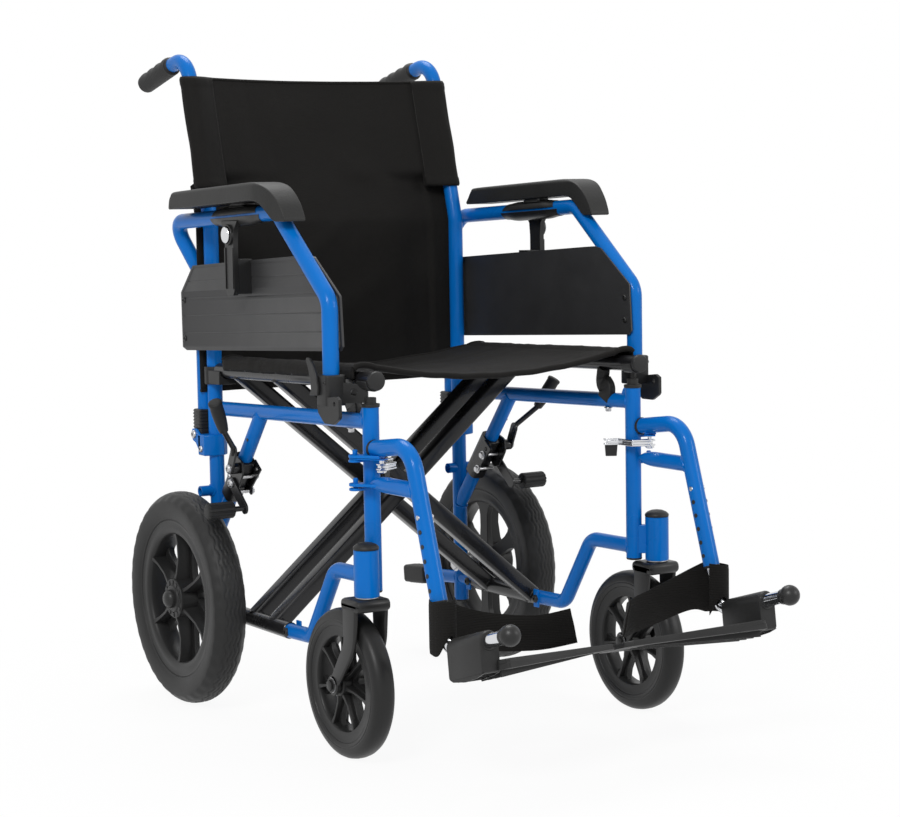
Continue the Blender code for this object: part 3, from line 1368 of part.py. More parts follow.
def build_sides():
    frame_at = spot(HALF_FRAME, 0.0, BRACE_UP)
    rear_at = spot(REAR_OUTBOARD, 0.0, REAR_RADIUS)
    swivel_at = spot(CASTOR_OUTBOARD, CASTOR_AHEAD, BARREL_FOOT)
    castor_at = spot(CASTOR_OUTBOARD, CASTOR_AXLE_AHEAD, CASTOR_RADIUS)
    arm_at = spot(ARM_OUTBOARD, ARM_REAR_AHEAD, ARM_PIVOT_UP)
    leg_at = spot(PIN_OUTBOARD, LEG_PIN_AHEAD, UPPER_TAB_UP)
    foot_at = spot(LEG_OUTBOARD, *FOOT_AT)
    place_pair("side_frame", side_frame(), BLUE, frame_at)
    place_pair("push_grip", push_grip(), RUBBER, frame_at)
    place_pair("tipping_pad", tipping_pad(), RUBBER, frame_at)
    place_pair("castor_cap", castor_cap(), BLACK, frame_at)
    place_pair("castor_fork", castor_fork(), BLACK, swivel_at)
    place_pair("castor_wheel", castor_wheel(castor_at), BLACK, castor_at)
    place_pair("castor_axle", castor_axle(), CHROME, swivel_at)
    place_pair("rear_rim", rear_rim(rear_at), BLACK, rear_at)
    place_pair("rear_tyre", rear_tyre(rear_at), RUBBER, rear_at)
    place_pair("rear_axle", rear_axle(), CHROME, frame_at)
    place_pair("armrest_frame", swept_armrest(), BLUE, arm_at)
    place_pair("armrest_pad", armrest_pad(), RUBBER, arm_at)
    place_pair("side_panel", side_panel(), BLACK, arm_at)
    place_pair("armrest_button", armrest_button(), CHROME, spot(ARM_OUTBOARD, STEM_AHEAD, BUTTON_UP))
    place_pair("rear_socket", rear_socket(), BLACK, arm_at)
    place_pair("front_socket", front_socket(), BLACK, frame_at)
    place_pair("socket_lever", socket_lever(), BLACK, spot(ARM_OUTBOARD, *SOCKET_LEVER_PIVOT))
    place_pair("seat_saddle", seat_saddle(), BLACK, frame_at)
    place_pair("legrest_bush", legrest_bush(), BLUE, leg_at)
    place_pair("legrest_hanger", legrest_hanger(), BLUE, leg_at)
    place_pair("legrest_latch", legrest_latch(), CHROME, spot(LEG_OUTBOARD, LATCH_AHEAD, UPPER_TAB_UP))
    place_pair("footrest_tube", footrest_tube(), CHROME, foot_at)
    place_pair("footrest_knob", footrest_knob(), BLACK, foot_at)
    place_pair("footplate", footplate(), BLACK, foot_at)
    place_pair("heel_strap", heel_strap(), FABRIC, foot_at)
    place_pair("brake_bracket", brake_bracket(), STEEL, frame_at)
    place_pair("brake_lever", brake_lever(), RUBBER, spot(HALF_FRAME, *BRAKE_PIVOT))
    place_pair("brake_shoe", brake_shoe(), RUBBER, spot(HALF_FRAME, *SHOE_PIVOT))


def swept_armrest():
    return swept(armrest_path(), TUBE)


def build_middle():
    right_low = spot(-HALF_FRAME, 0.0, BRACE_UP)
    centre = spot(0.0, 0.0, pivot_up())
    node("brace_inner", brace_inner(), STEEL, right_low)
    node("brace_outer", brace_outer(), STEEL, centre)
    node("seat_sling", seat_sling(), FABRIC, centre)
    node("back_sling", back_sling(), FABRIC, right_low)


for old in list(bpy.data.objects):
    bpy.data.objects.remove(old)
build_sides()
build_middle()
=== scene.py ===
"""Looks of the folding attendant wheelchair: tubes, wheels, slings, pads, fittings, finishes and a pale studio."""

import math

import bpy
from mathutils import Matrix, Vector, noise


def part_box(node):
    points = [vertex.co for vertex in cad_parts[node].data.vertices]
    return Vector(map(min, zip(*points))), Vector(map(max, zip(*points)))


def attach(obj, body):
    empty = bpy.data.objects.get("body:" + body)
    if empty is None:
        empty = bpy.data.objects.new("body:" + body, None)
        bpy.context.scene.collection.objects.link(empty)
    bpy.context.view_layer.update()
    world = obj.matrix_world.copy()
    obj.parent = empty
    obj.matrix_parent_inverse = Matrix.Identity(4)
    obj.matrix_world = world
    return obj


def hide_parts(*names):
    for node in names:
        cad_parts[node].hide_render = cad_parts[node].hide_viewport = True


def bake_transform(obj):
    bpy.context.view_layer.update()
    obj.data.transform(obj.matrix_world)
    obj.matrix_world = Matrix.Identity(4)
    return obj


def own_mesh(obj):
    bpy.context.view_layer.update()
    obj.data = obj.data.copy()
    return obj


bl_info = {
    "name": "Attendant wheelchair looks",
    "version": (1, 0, 0),
    "blender": (4, 5, 0),
    "location": "View3D > Sidebar > Wheelchair",
    "description": "Dresses the packed folding wheelchair with its visible pieces and finishes",
    "category": "Object",
}

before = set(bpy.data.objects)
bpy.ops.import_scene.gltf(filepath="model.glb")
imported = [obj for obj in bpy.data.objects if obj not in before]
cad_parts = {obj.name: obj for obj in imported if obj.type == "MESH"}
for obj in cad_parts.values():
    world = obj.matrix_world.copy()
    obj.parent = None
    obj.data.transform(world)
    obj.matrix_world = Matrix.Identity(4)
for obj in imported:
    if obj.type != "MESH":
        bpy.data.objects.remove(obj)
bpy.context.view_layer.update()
TYRE_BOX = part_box("rear_tyre_left")

# Frame sizes, in metres
AXLE_Y = (TYRE_BOX[0][1] + TYRE_BOX[1][1]) / 2
TUBE = 0.011
JOINED_TUBE = 0.01045
PLANE = 0.2115
CANE_AHEAD = -0.003
CANE_FOOT = 0.098
CANE_BEND_UP = 0.70
HANDLE_CORNER = (-0.068, 0.948)
HANDLE_BEND = 0.040
HANDLE_DROP = 0.2288
GRIP_FROM = 0.1165
GRIP_TO = 0.2165
GRIP_RADIUS = 0.0145
POST_AHEAD = 0.453
POST_FOOT = 0.224
POST_TOP = 0.4665
SIDE_TUBE_UP = 0.4305
SIDE_TUBE_RISE = 0.0145
STRUT_AHEAD = 0.148
STRUT_FOOT = 0.250
STUB_UP = 0.309
TIP_AHEAD = -0.150
TIP_UP = 0.120

# Wheel sizes
REAR_RADIUS = 0.1555
REAR_OUTBOARD = 0.2675
CASTOR_RADIUS = 0.0995
CASTOR_OUTBOARD = 0.235
CASTOR_AHEAD = 0.475
CASTOR_AXLE_AHEAD = 0.4234
BARREL = 0.0165
BARREL_FOOT = 0.2213
BARREL_TOP = 0.2833
CROWN_FOOT = 0.203

# Brace, seat and back sizes
BRACE_UP = 0.133
BRACE_TUBE = 0.0118
BRACE_FROM = 0.0405
BRACE_TO = 0.217
RAIL = 0.011
RAIL_UP = 0.4865
RAIL_RISE = 0.0255
RAIL_FROM = 0.017
RAIL_TO = 0.4685
PIVOT_UP = 0.31152
OUTER_DIAGONALS = (0.079, 0.199)
INNER_DIAGONALS = (0.107, 0.171)
SEAT_FROM = 0.055
SEAT_TO = 0.435
BACK_TOP = 0.914
BACK_SLEEVE_FOOT = 0.752
BACK_FOOT = 0.456
BACK_PULLS = [
    (Vector((-0.17, 0.56)), Vector((0.06, 0.72)), 0.016, 0.0034),
    (Vector((-0.10, 0.50)), Vector((0.17, 0.66)), 0.020, 0.0030),
    (Vector((0.19, 0.72)), Vector((0.02, 0.80)), 0.018, 0.0024),
    (Vector((-0.15, 0.90)), Vector((-0.12, 0.74)), 0.014, 0.0022),
    (Vector((-0.07, 0.90)), Vector((-0.05, 0.78)), 0.016, 0.0018),
]
SLEEVE_SEAM = 0.036

# Armrest sizes
ARM_OUTBOARD = 0.246
ARM_LEG_OUTBOARD = 0.2155
ARM_FRONT_AHEAD = 0.4125
ARM_REAR_AHEAD = -0.0292
ARM_TOP = 0.7100
ARM_RISE = 0.040
ARM_MIDDLE = 0.1094
PAD_INNER = 0.2335
PAD_CLEAR = 0.0056
PAD_NOSE = 0.256
ARM_PIVOT_UP = 0.391
ARM_REAR_FOOT = 0.402
ARM_SEAT_UP = 0.4985
STEM_AHEAD = 0.155
BUTTON_UP = 0.686

# Legrest sizes
LEG_OUTBOARD = 0.2155
PIN_OUTBOARD = 0.237
LEG_PIN_AHEAD = 0.455
UPPER_TAB_UP = 0.3945
LOWER_TAB_UP = 0.3575
TAB_THICK = 0.0034
HANGER_UP = 0.411
HANGER_KNEE = (0.559, 0.4225)
HANGER_FOOT = (0.620, 0.2335)
HANGER_BEND = 0.040
HANGER_RUN = Vector((0.28473, -0.95861))
FOOT_RUN = Vector((0.95861, 0.28473))
FOOT_AT = Vector((0.63723, 0.17550))
FOOT_TUBE = 0.0088
FOOT_REACH = 0.1458
KNOB = 0.0134
LATCH_AHEAD = 0.486
LATCH_UP = 0.3849
UPPER_PLATE = 0.4003
LOWER_PLATE = 0.3633

# Brake sizes
BRAKE_PIVOT = Vector((0.098, 0.352))
LEVER_ELBOW = Vector((0.1115, 0.379))
LEVER_GRIP = (0.267, 0.136, 0.411)
LEVER_TIP = (0.2884, 0.1533, 0.4551)
BRAKE_FACE = PLANE + TUBE + 0.001
BRAKE_LAYER = BRAKE_FACE + 0.0034
LEVER_FACE = BRAKE_LAYER + 0.0115
SHOE_AT = Vector((0.11814, 0.29630))
SHOE_PIVOT = Vector((0.07984, 0.32844))

# Directions
OUT = Vector((1.0, 0.0, 0.0))
AHEAD = Vector((0.0, -1.0, 0.0))
UP = Vector((0.0, 0.0, 1.0))

# The camera of the photograph
CAMERA_AT = Vector((-1.6010, -2.5770, 0.7241))
CAMERA_RIGHT = Vector((0.84627, -0.53249, -0.01698))
CAMERA_UP = Vector((0.06463, 0.07098, 0.99538))
CAMERA_LENS = 86.404
CAMERA_SENSOR = 36.0


# Settings


class WheelchairShape(bpy.types.PropertyGroup):
    """Sizes and counts of the visible detail."""

    tube_sides: bpy.props.IntProperty(
        name="Tube sides", description="Facets round a frame tube", default=32, min=12, max=96
    )
    wheel_segments: bpy.props.IntProperty(
        name="Wheel segments", description="Facets round a wheel", default=240, min=48, max=480
    )
    tread_blocks: bpy.props.IntProperty(
        name="Tread blocks", description="Blocks round each shoulder of a rear tyre", default=40, min=12, max=80
    )
    tread_depth: bpy.props.FloatProperty(
        name="Tread depth", description="Depth of the grooves", default=0.0015, min=0.0, max=0.004, unit="LENGTH"
    )
    weld_bead: bpy.props.FloatProperty(
        name="Weld bead", description="Radius of the bead at a joint", default=0.0017, max=0.004, unit="LENGTH"
    )
    seat_sag: bpy.props.FloatProperty(
        name="Seat sag", description="How far the seat hangs in the middle", default=0.021, max=0.06, unit="LENGTH"
    )
    back_sag: bpy.props.FloatProperty(
        name="Back sag", description="How far the back bows rearwards", default=0.040, max=0.08, unit="LENGTH"
    )
    wrinkle: bpy.props.FloatProperty(
        name="Wrinkles", description="Height of the folds in the slings", default=0.0022, max=0.01, unit="LENGTH"
    )
    hanger_holes: bpy.props.IntProperty(
        name="Hanger holes", description="Adjusting holes in each legrest hanger", default=6, min=0, max=8
    )
    plate_ribs: bpy.props.IntProperty(
        name="Footplate ribs", description="Raised ribs across each footplate", default=7, min=0, max=12
    )


class WheelchairColours(bpy.types.PropertyGroup):
    """Colours of the finishes, in linear light."""

    paint: bpy.props.FloatVectorProperty(
        name="Frame paint", description="Blue of the frame", subtype="COLOR", default=(0.001, 0.158, 0.56)
    )
    paint_deep: bpy.props.FloatVectorProperty(
        name="Deep paint", description="Blue of the thicker coat", subtype="COLOR", default=(0.001, 0.132, 0.48)
    )
    plastic: bpy.props.FloatVectorProperty(
        name="Plastic", description="Black of the moulded fittings", subtype="COLOR", default=(0.018, 0.018, 0.018)
    )
    panel: bpy.props.FloatVectorProperty(
        name="Side panel", description="Black of the side panels", subtype="COLOR", default=(0.028, 0.028, 0.029)
    )
    rubber: bpy.props.FloatVectorProperty(
        name="Rubber", description="Black of tyres and grips", subtype="COLOR", default=(0.017, 0.017, 0.017)
    )
    vinyl: bpy.props.FloatVectorProperty(
        name="Pad vinyl", description="Black of the arm pads", subtype="COLOR", default=(0.019, 0.019, 0.0185)
    )
    cloth: bpy.props.FloatVectorProperty(
        name="Cloth", description="Black of the slings", subtype="COLOR", default=(0.0100, 0.0094, 0.0088)
    )


class WheelchairStage(bpy.types.PropertyGroup):
    """Light and floor."""

    floor: bpy.props.FloatVectorProperty(
        name="Floor", description="Floor colour", subtype="COLOR", default=(0.90, 0.90, 0.90)
    )
    key: bpy.props.FloatProperty(name="Key light", description="Front left softbox", default=86.0, unit="POWER")
    fill: bpy.props.FloatProperty(name="Fill light", description="Front right softbox", default=30.0, unit="POWER")
    top: bpy.props.FloatProperty(name="Top light", description="Softbox overhead", default=48.0, unit="POWER")
    ambient: bpy.props.FloatProperty(name="Ambient", description="Even light from all round", default=0.42, max=1.5)


def shape_settings():
    return bpy.context.scene.wheelchair_shape


def colour_settings():
    return bpy.context.scene.wheelchair_colours


# Places


def spot(outboard, ahead, up):
    """A point from its distance outboard, its distance ahead of the rear axle and its height."""
    return Vector((outboard, AXLE_Y - ahead, up))


def rail_up(ahead):
    return RAIL_UP + RAIL_RISE * ahead


def side_tube_up(ahead):
    return SIDE_TUBE_UP + SIDE_TUBE_RISE * ahead / POST_AHEAD


def foot_spot(outboard, along, above):
    """A point near the footrest tube: along its forward run and above it."""
    place = FOOT_AT + FOOT_RUN * along - HANGER_RUN * above
    return spot(outboard, place.x, place.y)


def cane_at(up):
    """The back cane's centre at a height below the handle's bend."""
    lean = (CANE_AHEAD - HANDLE_CORNER[0]) / (HANDLE_CORNER[1] - CANE_BEND_UP)
    return spot(PLANE, CANE_AHEAD - lean * max(0.0, up - CANE_BEND_UP), up)


def smooth_step(value, low, high):
    share = min(1.0, max(0.0, (value - low) / (high - low)))
    return share * share * (3.0 - 2.0 * share)


def ripple(*place):
    """Smooth seeded unevenness between minus one and one."""
    return noise.noise(Vector(place))


# Shapes, each a pair of points and faces


def loft(rings, closed=False):
    """A solid through rings of equally many points, capped at both ends or closed on itself."""
    count = len(rings[0])
    points = [point for ring in rings for point in ring]
    faces = []
    last = len(rings) if closed else len(rings) - 1
    for index in range(last):
        here = index * count
        there = (index + 1) % len(rings) * count
        for step in range(count):
            after = (step + 1) % count
            faces.append((here + step, here + after, there + after, there + step))
    if not closed:
        faces.append(tuple(reversed(range(count))))
        faces.append(tuple(range(len(points) - count, len(points))))
    return outward(points, faces)


def outward(points, faces):
    """The same solid with its faces turned outwards."""
    total = 0.0
    for face in faces:
        first = points[face[0]]
        for one, two in zip(face[1:-1], face[2:]):
            total += first.dot(points[one].cross(points[two]))
    if total < 0:
        faces = [tuple(reversed(face)) for face in faces]
    return points, faces


def grid(rows):
    """An open sheet through rows of points."""
    count = len(rows[0])
    points = [point for row in rows for point in row]
    faces = []
    for index in range(len(rows) - 1):
        here = index * count
        for step in range(count - 1):
            faces.append((here + step, here + step + 1, here + count + step + 1, here + count + step))
    return points, faces


def rounded(corners, radius, steps=10):
    """The path with each inner corner replaced by an arc. The radius may be a list."""
    radii = radius if isinstance(radius, (list, tuple)) else [radius] * (len(corners) - 2)
    path = [corners[0]]
    for before, corner, after, bend in zip(corners, corners[1:], corners[2:], radii):
        back = (before - corner).normalized()
        front = (after - corner).normalized()
        half = back.angle(front) / 2
        reach = bend / math.tan(half)
        middle = corner + (back + front).normalized() * (bend / math.sin(half))
        start = corner + back * reach - middle
        sweep = math.pi - 2 * half
        across = (corner + front * reach - middle) - start * math.cos(sweep)
        across = across.normalized() * bend
        for step in range(steps + 1):
            angle = sweep * step / steps
            path.append(middle + start * math.cos(angle) + across * math.sin(angle))
    path.append(corners[-1])
    return path


def circle(radius, sides):
    turn = 2 * math.pi / sides
    return [(radius * math.cos(turn * step), radius * math.sin(turn * step)) for step in range(sides)]


def soft_box(half_wide, half_tall, corner, steps=4):
    """The outline of a rectangle with round corners."""
    outline = []
    for quarter, (x, y) in enumerate(((1, 1), (-1, 1), (-1, -1), (1, -1))):
        for step in range(steps + 1):
            angle = math.pi / 2 * (quarter + step / steps)
            outline.append(
                (
                    x * (half_wide - corner) + corner * math.cos(angle),
                    y * (half_tall - corner) + corner * math.sin(angle),
                )
            )
    return outline


def swept(path, outline, reference=OUT):
    """A bar along a path. The outline is one list of pairs, or one such list for each point."""
    each = outline if isinstance(outline[0], list) else [outline] * len(path)
    rings = []
    side = reference
    for index, point in enumerate(path):
        before = path[max(index - 1, 0)]
        after = path[min(index + 1, len(path) - 1)]
        along = ((point - before).normalized() + (after - point).normalized()).normalized()
        side = (side - along * side.dot(along)).normalized()
        up = along.cross(side)
        rings.append([point + side * x + up * y for x, y in each[index]])
    return loft(rings)


def square_to(along):
    return UP if abs(along.normalized().x) > 0.9 else OUT


def tube(path, radius, sides=None):
    """A round bar along a path. The radius may be a list with one value for each point."""
    sides = sides or shape_settings().tube_sides
    if isinstance(radius, (list, tuple)):
        outline = [circle(each, sides) for each in radius]
    else:
        outline = circle(radius, sides)
    return swept(path, outline, square_to(path[1] - path[0]))


def rod(start, end, radius, edge=0.0007, sides=None):
    """A straight bar whose end edges are broken."""
    run = (end - start).normalized() * edge
    path = [start, start + run, end - run, end]
    return tube(path, [radius - edge, radius, radius, radius - edge], sides)


def spun(centre, axis, profile, segments=32):
    """A solid of revolution, from (distance along, radius) pairs."""
    axis = axis.normalized()
    side = square_to(axis)
    side = (side - axis * side.dot(axis)).normalized()
    up = axis.cross(side)
    rings = []
    for along, radius in profile:
        middle = centre + axis * along
        rings.append([middle + side * x + up * y for x, y in circle(radius, segments)])
    return loft(rings)


def turned(centre, axis, profile, segments=48):
    """A ring turned round an axis, from a closed profile of (radius, distance along) pairs."""
    axis = axis.normalized()
    side = square_to(axis)
    side = (side - axis * side.dot(axis)).normalized()
    up = axis.cross(side)
    rings = []
    for x, y in circle(1.0, segments):
        rings.append([centre + (side * x + up * y) * radius + axis * along for radius, along in profile])
    return loft(rings, closed=True)


def both_halves(profile):
    """A wheel's closed profile from its outboard half, listed from the inner edge to the outer."""
    return profile + [(radius, -along) for radius, along in reversed(profile)]


def slab(outline, offset):
    """A flat plate: an outline of points, and the same outline moved by the offset."""
    return loft([list(outline), [point + offset for point in outline]])


def side_plate(outline, outboard, thick):
    """A plate that faces outboard, from (ahead, up) places."""
    return slab([spot(outboard, *place) for place in outline], OUT * thick)


def ball(centre, radius, segments=32):
    profile = []
    for step in range(17):
        angle = math.pi * (step / 16 - 0.5)
        profile.append((radius * math.sin(angle), max(0.0004, radius * math.cos(angle))))
    return spun(centre, UP, profile, segments)


def hex_bolt(centre, axis, radius, high):
    """A six-sided head on a washer."""
    washer = spun(centre, axis, [(0.0, 1.25 * radius), (0.0009, 1.3 * radius), (0.0012, 1.2 * radius)])
    head = spun(centre, axis, [(0.001, radius), (0.85 * high, radius), (high, 0.84 * radius)], 6)
    return merged(washer, head)


def cap_screw(centre, axis, radius, high):
    """A domed head with a socket in it."""
    profile = [
        (-0.001, radius),
        (0.4 * high, radius),
        (0.75 * high, 0.86 * radius),
        (0.96 * high, 0.60 * radius),
        (high, 0.46 * radius),
        (0.98 * high, 0.42 * radius),
        (0.4 * high, 0.38 * radius),
    ]
    return spun(centre, axis, profile, 24)


def round_link(start, end, radius, outboard, thick):
    """A flat link with round ends, seen from outboard, between two (ahead, up) places."""
    along = (end - start).normalized()
    first = math.atan2(along.y, along.x) + math.pi / 2
    outline = []
    for centre, begin in ((start, first), (end, first + math.pi)):
        for step in range(13):
            angle = begin + math.pi * step / 12
            outline.append(centre + Vector((math.cos(angle), math.sin(angle))) * radius)
    return side_plate([tuple(place) for place in outline], outboard, thick)


def tab(start, radius, end, half_wide, foot, thick):
    """A tab seen from above: round at its pin and running to another (outboard, ahead) place."""
    start = Vector(start)
    end = Vector(end)
    along = (end - start).normalized()
    across = Vector((-along.y, along.x))
    outline = [end - across * half_wide, end + across * half_wide]
    first = math.atan2(across.y, across.x)
    for step in range(17):
        angle = first + math.pi * step / 16
        outline.append(start + Vector((math.cos(angle), math.sin(angle))) * radius)
    return slab([spot(place.x, place.y, foot) for place in outline], UP * thick)


def weld(start, end, radius, through, run, other):
    """The bead where a tube from start to end meets the wall of another tube."""
    along = (end - start).normalized()
    run = run.normalized()
    side = along.orthogonal().normalized()
    up = along.cross(side)
    flat = along - run * along.dot(run)
    loop = []
    for x, y in circle(radius, 36):
        base = start + side * x + up * y
        gap = base - through
        gap = gap - run * gap.dot(run)
        a = flat.dot(flat)
        b = gap.dot(flat)
        c = gap.dot(gap) - other * other
        loop.append(base + along * ((-b - math.sqrt(max(0.0, b * b - a * c))) / a))
    middle = sum(loop, Vector()) / len(loop)
    bead = shape_settings().weld_bead
    rings = []
    for index, point in enumerate(loop):
        forward = (loop[(index + 1) % len(loop)] - loop[index - 1]).normalized()
        away = point - middle
        away = (away - forward * away.dot(forward)).normalized()
        rise = forward.cross(away)
        size = bead * (1.0 + 0.14 * math.sin(2.6 * index))
        rings.append([point + away * x + rise * y for x, y in circle(size, 8)])
    return loft(rings, closed=True)


def merged(*shapes):
    points = []
    faces = []
    for more_points, more_faces in shapes:
        base = len(points)
        points += more_points
        faces += [tuple(base + index for index in face) for face in more_faces]
    return points, faces


def mirrored(shape):
    points, faces = shape
    points = [Vector((-point.x, point.y, point.z)) for point in points]
    return points, [tuple(reversed(face)) for face in faces]


# Finishes


class Wire:
    """A shader socket that takes part in Python expressions."""

    def __init__(self, finish, socket):
        self.finish = finish
        self.socket = socket

    def math(self, operation, *values):
        inputs = dict(enumerate(values))
        return self.finish.add("ShaderNodeMath", {"operation": operation}, inputs)

    def __add__(self, other):
        return self.math("ADD", self, other)

    __radd__ = __add__

    def __sub__(self, other):
        return self.math("SUBTRACT", self, other)

    def __rsub__(self, other):
        return self.math("SUBTRACT", other, self)

    def __mul__(self, other):
        return self.math("MULTIPLY", self, other)

    __rmul__ = __mul__

    def __truediv__(self, other):
        return self.math("DIVIDE", self, other)

    def __rtruediv__(self, other):
        return self.math("DIVIDE", other, self)

    def __pow__(self, other):
        return self.math("POWER", self, other)


class Finish:
    """One material and the nodes in it."""

    def __init__(self, name):
        self.material = bpy.data.materials.new(name)
        self.material.use_nodes = True
        self.tree = self.material.node_tree
        self.shader = self.tree.nodes["Principled BSDF"]

    def add(self, kind, settings, inputs, output=0):
        """Any node: its type, its settings and the values or links of its sockets."""
        node = self.tree.nodes.new(kind)
        for key, value in settings.items():
            if key == "stops":
                for stop, (place, colour) in zip(node.color_ramp.elements, value):
                    stop.position = place
                    stop.color = colour
            else:
                setattr(node, key, value)
        for key, value in inputs.items():
            self.put(node.inputs[key], value)
        return Wire(self, node.outputs[output])

    def put(self, socket, value):
        if isinstance(value, Wire):
            self.tree.links.new(value.socket, socket)
        else:
            socket.default_value = value

    def set(self, **values):
        """Sets or links sockets of the surface shader. An underscore stands for a space."""
        for key, value in values.items():
            self.put(self.shader.inputs[key.replace("_", " ")], value)
        return self.material

    def place(self):
        return self.add("ShaderNodeTexCoord", {}, {}, "Object")

    def noise(self, scale, detail=2.0, rough=0.5, place=None):
        inputs = {"Vector": place or self.place(), "Scale": scale, "Detail": detail, "Roughness": rough}
        return self.add("ShaderNodeTexNoise", {}, inputs, "Fac")

    def cells(self, scale, place=None):
        inputs = {"Vector": place or self.place(), "Scale": scale}
        return self.add("ShaderNodeTexVoronoi", {"feature": "F1"}, inputs, "Distance")

    def wave(self, scale, axis, bend=0.0):
        settings = {"wave_type": "BANDS", "bands_direction": axis, "wave_profile": "SIN"}
        inputs = {"Vector": self.place(), "Scale": scale, "Distortion": bend}
        return self.add("ShaderNodeTexWave", settings, inputs, "Fac")

    def blend(self, factor, first, second):
        """A colour between two colours."""
        inputs = {0: factor, 6: (*first, 1.0), 7: (*second, 1.0)}
        return self.add("ShaderNodeMix", {"data_type": "RGBA"}, inputs, 2)

    def bump(self, height, strength, distance):
        inputs = {"Strength": strength, "Distance": distance, "Height": height}
        return self.add("ShaderNodeBump", {}, inputs)


def paler(colour, share):
    return tuple(channel * share for channel in colour)


def blue_paint():
    """Glossy powder coat with a little orange peel."""
    finish = Finish("blue_paint")
    colours = colour_settings()
    cloud = finish.noise(14.0, 3.0)
    peel = finish.noise(520.0, 1.5)
    return finish.set(
        Base_Color=finish.blend(cloud, colours.paint_deep, colours.paint),
        Roughness=0.24 + 0.10 * cloud,
        Specular_IOR_Level=0.10,
        Coat_Weight=0.12,
        Coat_Roughness=0.07,
        Normal=finish.bump(peel, 0.10, 0.0005),
    )


def black_paint():
    """Glossy black coat on the cross brace and brackets."""
    finish = Finish("black_paint")
    cloud = finish.noise(18.0, 3.0)
    peel = finish.noise(480.0, 1.5)
    return finish.set(
        Base_Color=finish.blend(cloud, (0.007, 0.007, 0.008), (0.011, 0.011, 0.012)),
        Roughness=0.22 + 0.12 * cloud,
        Specular_IOR_Level=0.28,
        Coat_Weight=0.20,
        Coat_Roughness=0.08,
        Normal=finish.bump(peel, 0.12, 0.0005),
    )


def chrome():
    finish = Finish("chrome")
    haze = finish.noise(60.0, 4.0)
    return finish.set(
        Base_Color=finish.blend(haze, (0.60, 0.61, 0.63), (0.72, 0.73, 0.75)),
        Metallic=1.0,
        Roughness=0.07 + 0.10 * haze,
        Normal=finish.bump(finish.noise(240.0, 2.0), 0.03, 0.0004),
    )


def zinc():
    """Plated screws, washers and nuts."""
    finish = Finish("zinc")
    grain = finish.noise(900.0, 3.0)
    return finish.set(
        Base_Color=finish.blend(grain, (0.42, 0.42, 0.43), (0.58, 0.58, 0.59)),
        Metallic=1.0,
        Roughness=0.26 + 0.14 * grain,
        Normal=finish.bump(grain, 0.08, 0.0003),
    )


def moulded(name, colour, roughness, grain_scale, grain_depth, shine=0.25, spread=0.18):
    """Moulded plastic or rubber with a fine grain."""
    finish = Finish(name)
    cloud = finish.noise(22.0, 4.0)
    grain = finish.cells(grain_scale)
    fine = finish.noise(grain_scale * 1.7, 2.0)
    return finish.set(
        Base_Color=finish.blend(cloud, paler(colour, 0.82), paler(colour, 1.16)),
        Roughness=roughness - spread / 2 + spread * cloud,
        Specular_IOR_Level=shine,
        Normal=finish.bump(grain * 0.6 + fine * 0.4, grain_depth, 0.0004),
    )


def black_plastic():
    return moulded("black_plastic", colour_settings().plastic, 0.42, 1500.0, 0.16, 0.25)


def panel_plastic():
    return moulded("panel_plastic", colour_settings().panel, 0.46, 1100.0, 0.22, 0.40)


def black_gloss():
    return moulded("black_gloss", (0.013, 0.013, 0.013), 0.38, 900.0, 0.05, 0.35)


def castor_rubber():
    return moulded("castor_rubber", (0.015, 0.015, 0.015), 0.40, 1200.0, 0.08)


def tyre_rubber():
    return moulded("tyre", colour_settings().rubber, 0.50, 1400.0, 0.22)


def grip_rubber():
    return moulded("grip_rubber", (0.013, 0.013, 0.013), 0.50, 1600.0, 0.25)


def pad_vinyl():
    """Soft skinned foam with a leather-like grain."""
    finish = Finish("pad_vinyl")
    colour = colour_settings().vinyl
    cloud = finish.noise(16.0, 4.0)
    grain = finish.cells(420.0)
    crease = finish.cells(160.0)
    return finish.set(
        Base_Color=finish.blend(cloud, paler(colour, 0.85), paler(colour, 1.15)),
        Roughness=0.44 + 0.12 * cloud,
        Specular_IOR_Level=0.25,
        Normal=finish.bump(grain * 0.65 + crease * 0.35, 0.35, 0.0006),
    )


def black_cloth():
    """Coated nylon with a plain weave and soft creases."""
    finish = Finish("black_cloth")
    colour = colour_settings().cloth
    cloud = finish.noise(9.0, 4.0)
    weave = finish.wave(210.0, "X") * finish.wave(210.0, "Z") + finish.wave(210.0, "Y") * 0.5
    crease = finish.noise(34.0, 5.0, 0.6)
    return finish.set(
        Base_Color=finish.blend(cloud, paler(colour, 0.78), paler(colour, 1.25)),
        Roughness=0.66 + 0.16 * cloud,
        Specular_IOR_Level=0.10,
        Sheen_Weight=0.02,
        Normal=finish.bump(weave * 0.22 + crease * 1.6, 0.55, 0.0016),
    )


def thread():
    return moulded("thread", (0.030, 0.029, 0.028), 0.62, 2400.0, 0.30)


def webbing():
    """Heavy woven strap with ribs along it."""
    finish = Finish("webbing")
    colour = colour_settings().cloth
    cloud = finish.noise(20.0, 3.0)
    ribs = finish.wave(95.0, "Z")
    picks = finish.wave(260.0, "X")
    return finish.set(
        Base_Color=finish.blend(cloud, paler(colour, 0.75), paler(colour, 1.2)),
        Roughness=0.70 + 0.14 * cloud,
        Specular_IOR_Level=0.12,
        Sheen_Weight=0.02,
        Normal=finish.bump(ribs * 0.7 + picks * 0.5, 0.5, 0.0009),
    )


FINISHES = {
    "blue_paint": blue_paint,
    "black_paint": black_paint,
    "chrome": chrome,
    "zinc": zinc,
    "black_plastic": black_plastic,
    "panel_plastic": panel_plastic,
    "black_gloss": black_gloss,
    "castor_rubber": castor_rubber,
    "tyre": tyre_rubber,
    "grip_rubber": grip_rubber,
    "pad_vinyl": pad_vinyl,
    "black_cloth": black_cloth,
    "thread": thread,
    "webbing": webbing,
}
MADE_FINISHES = {}


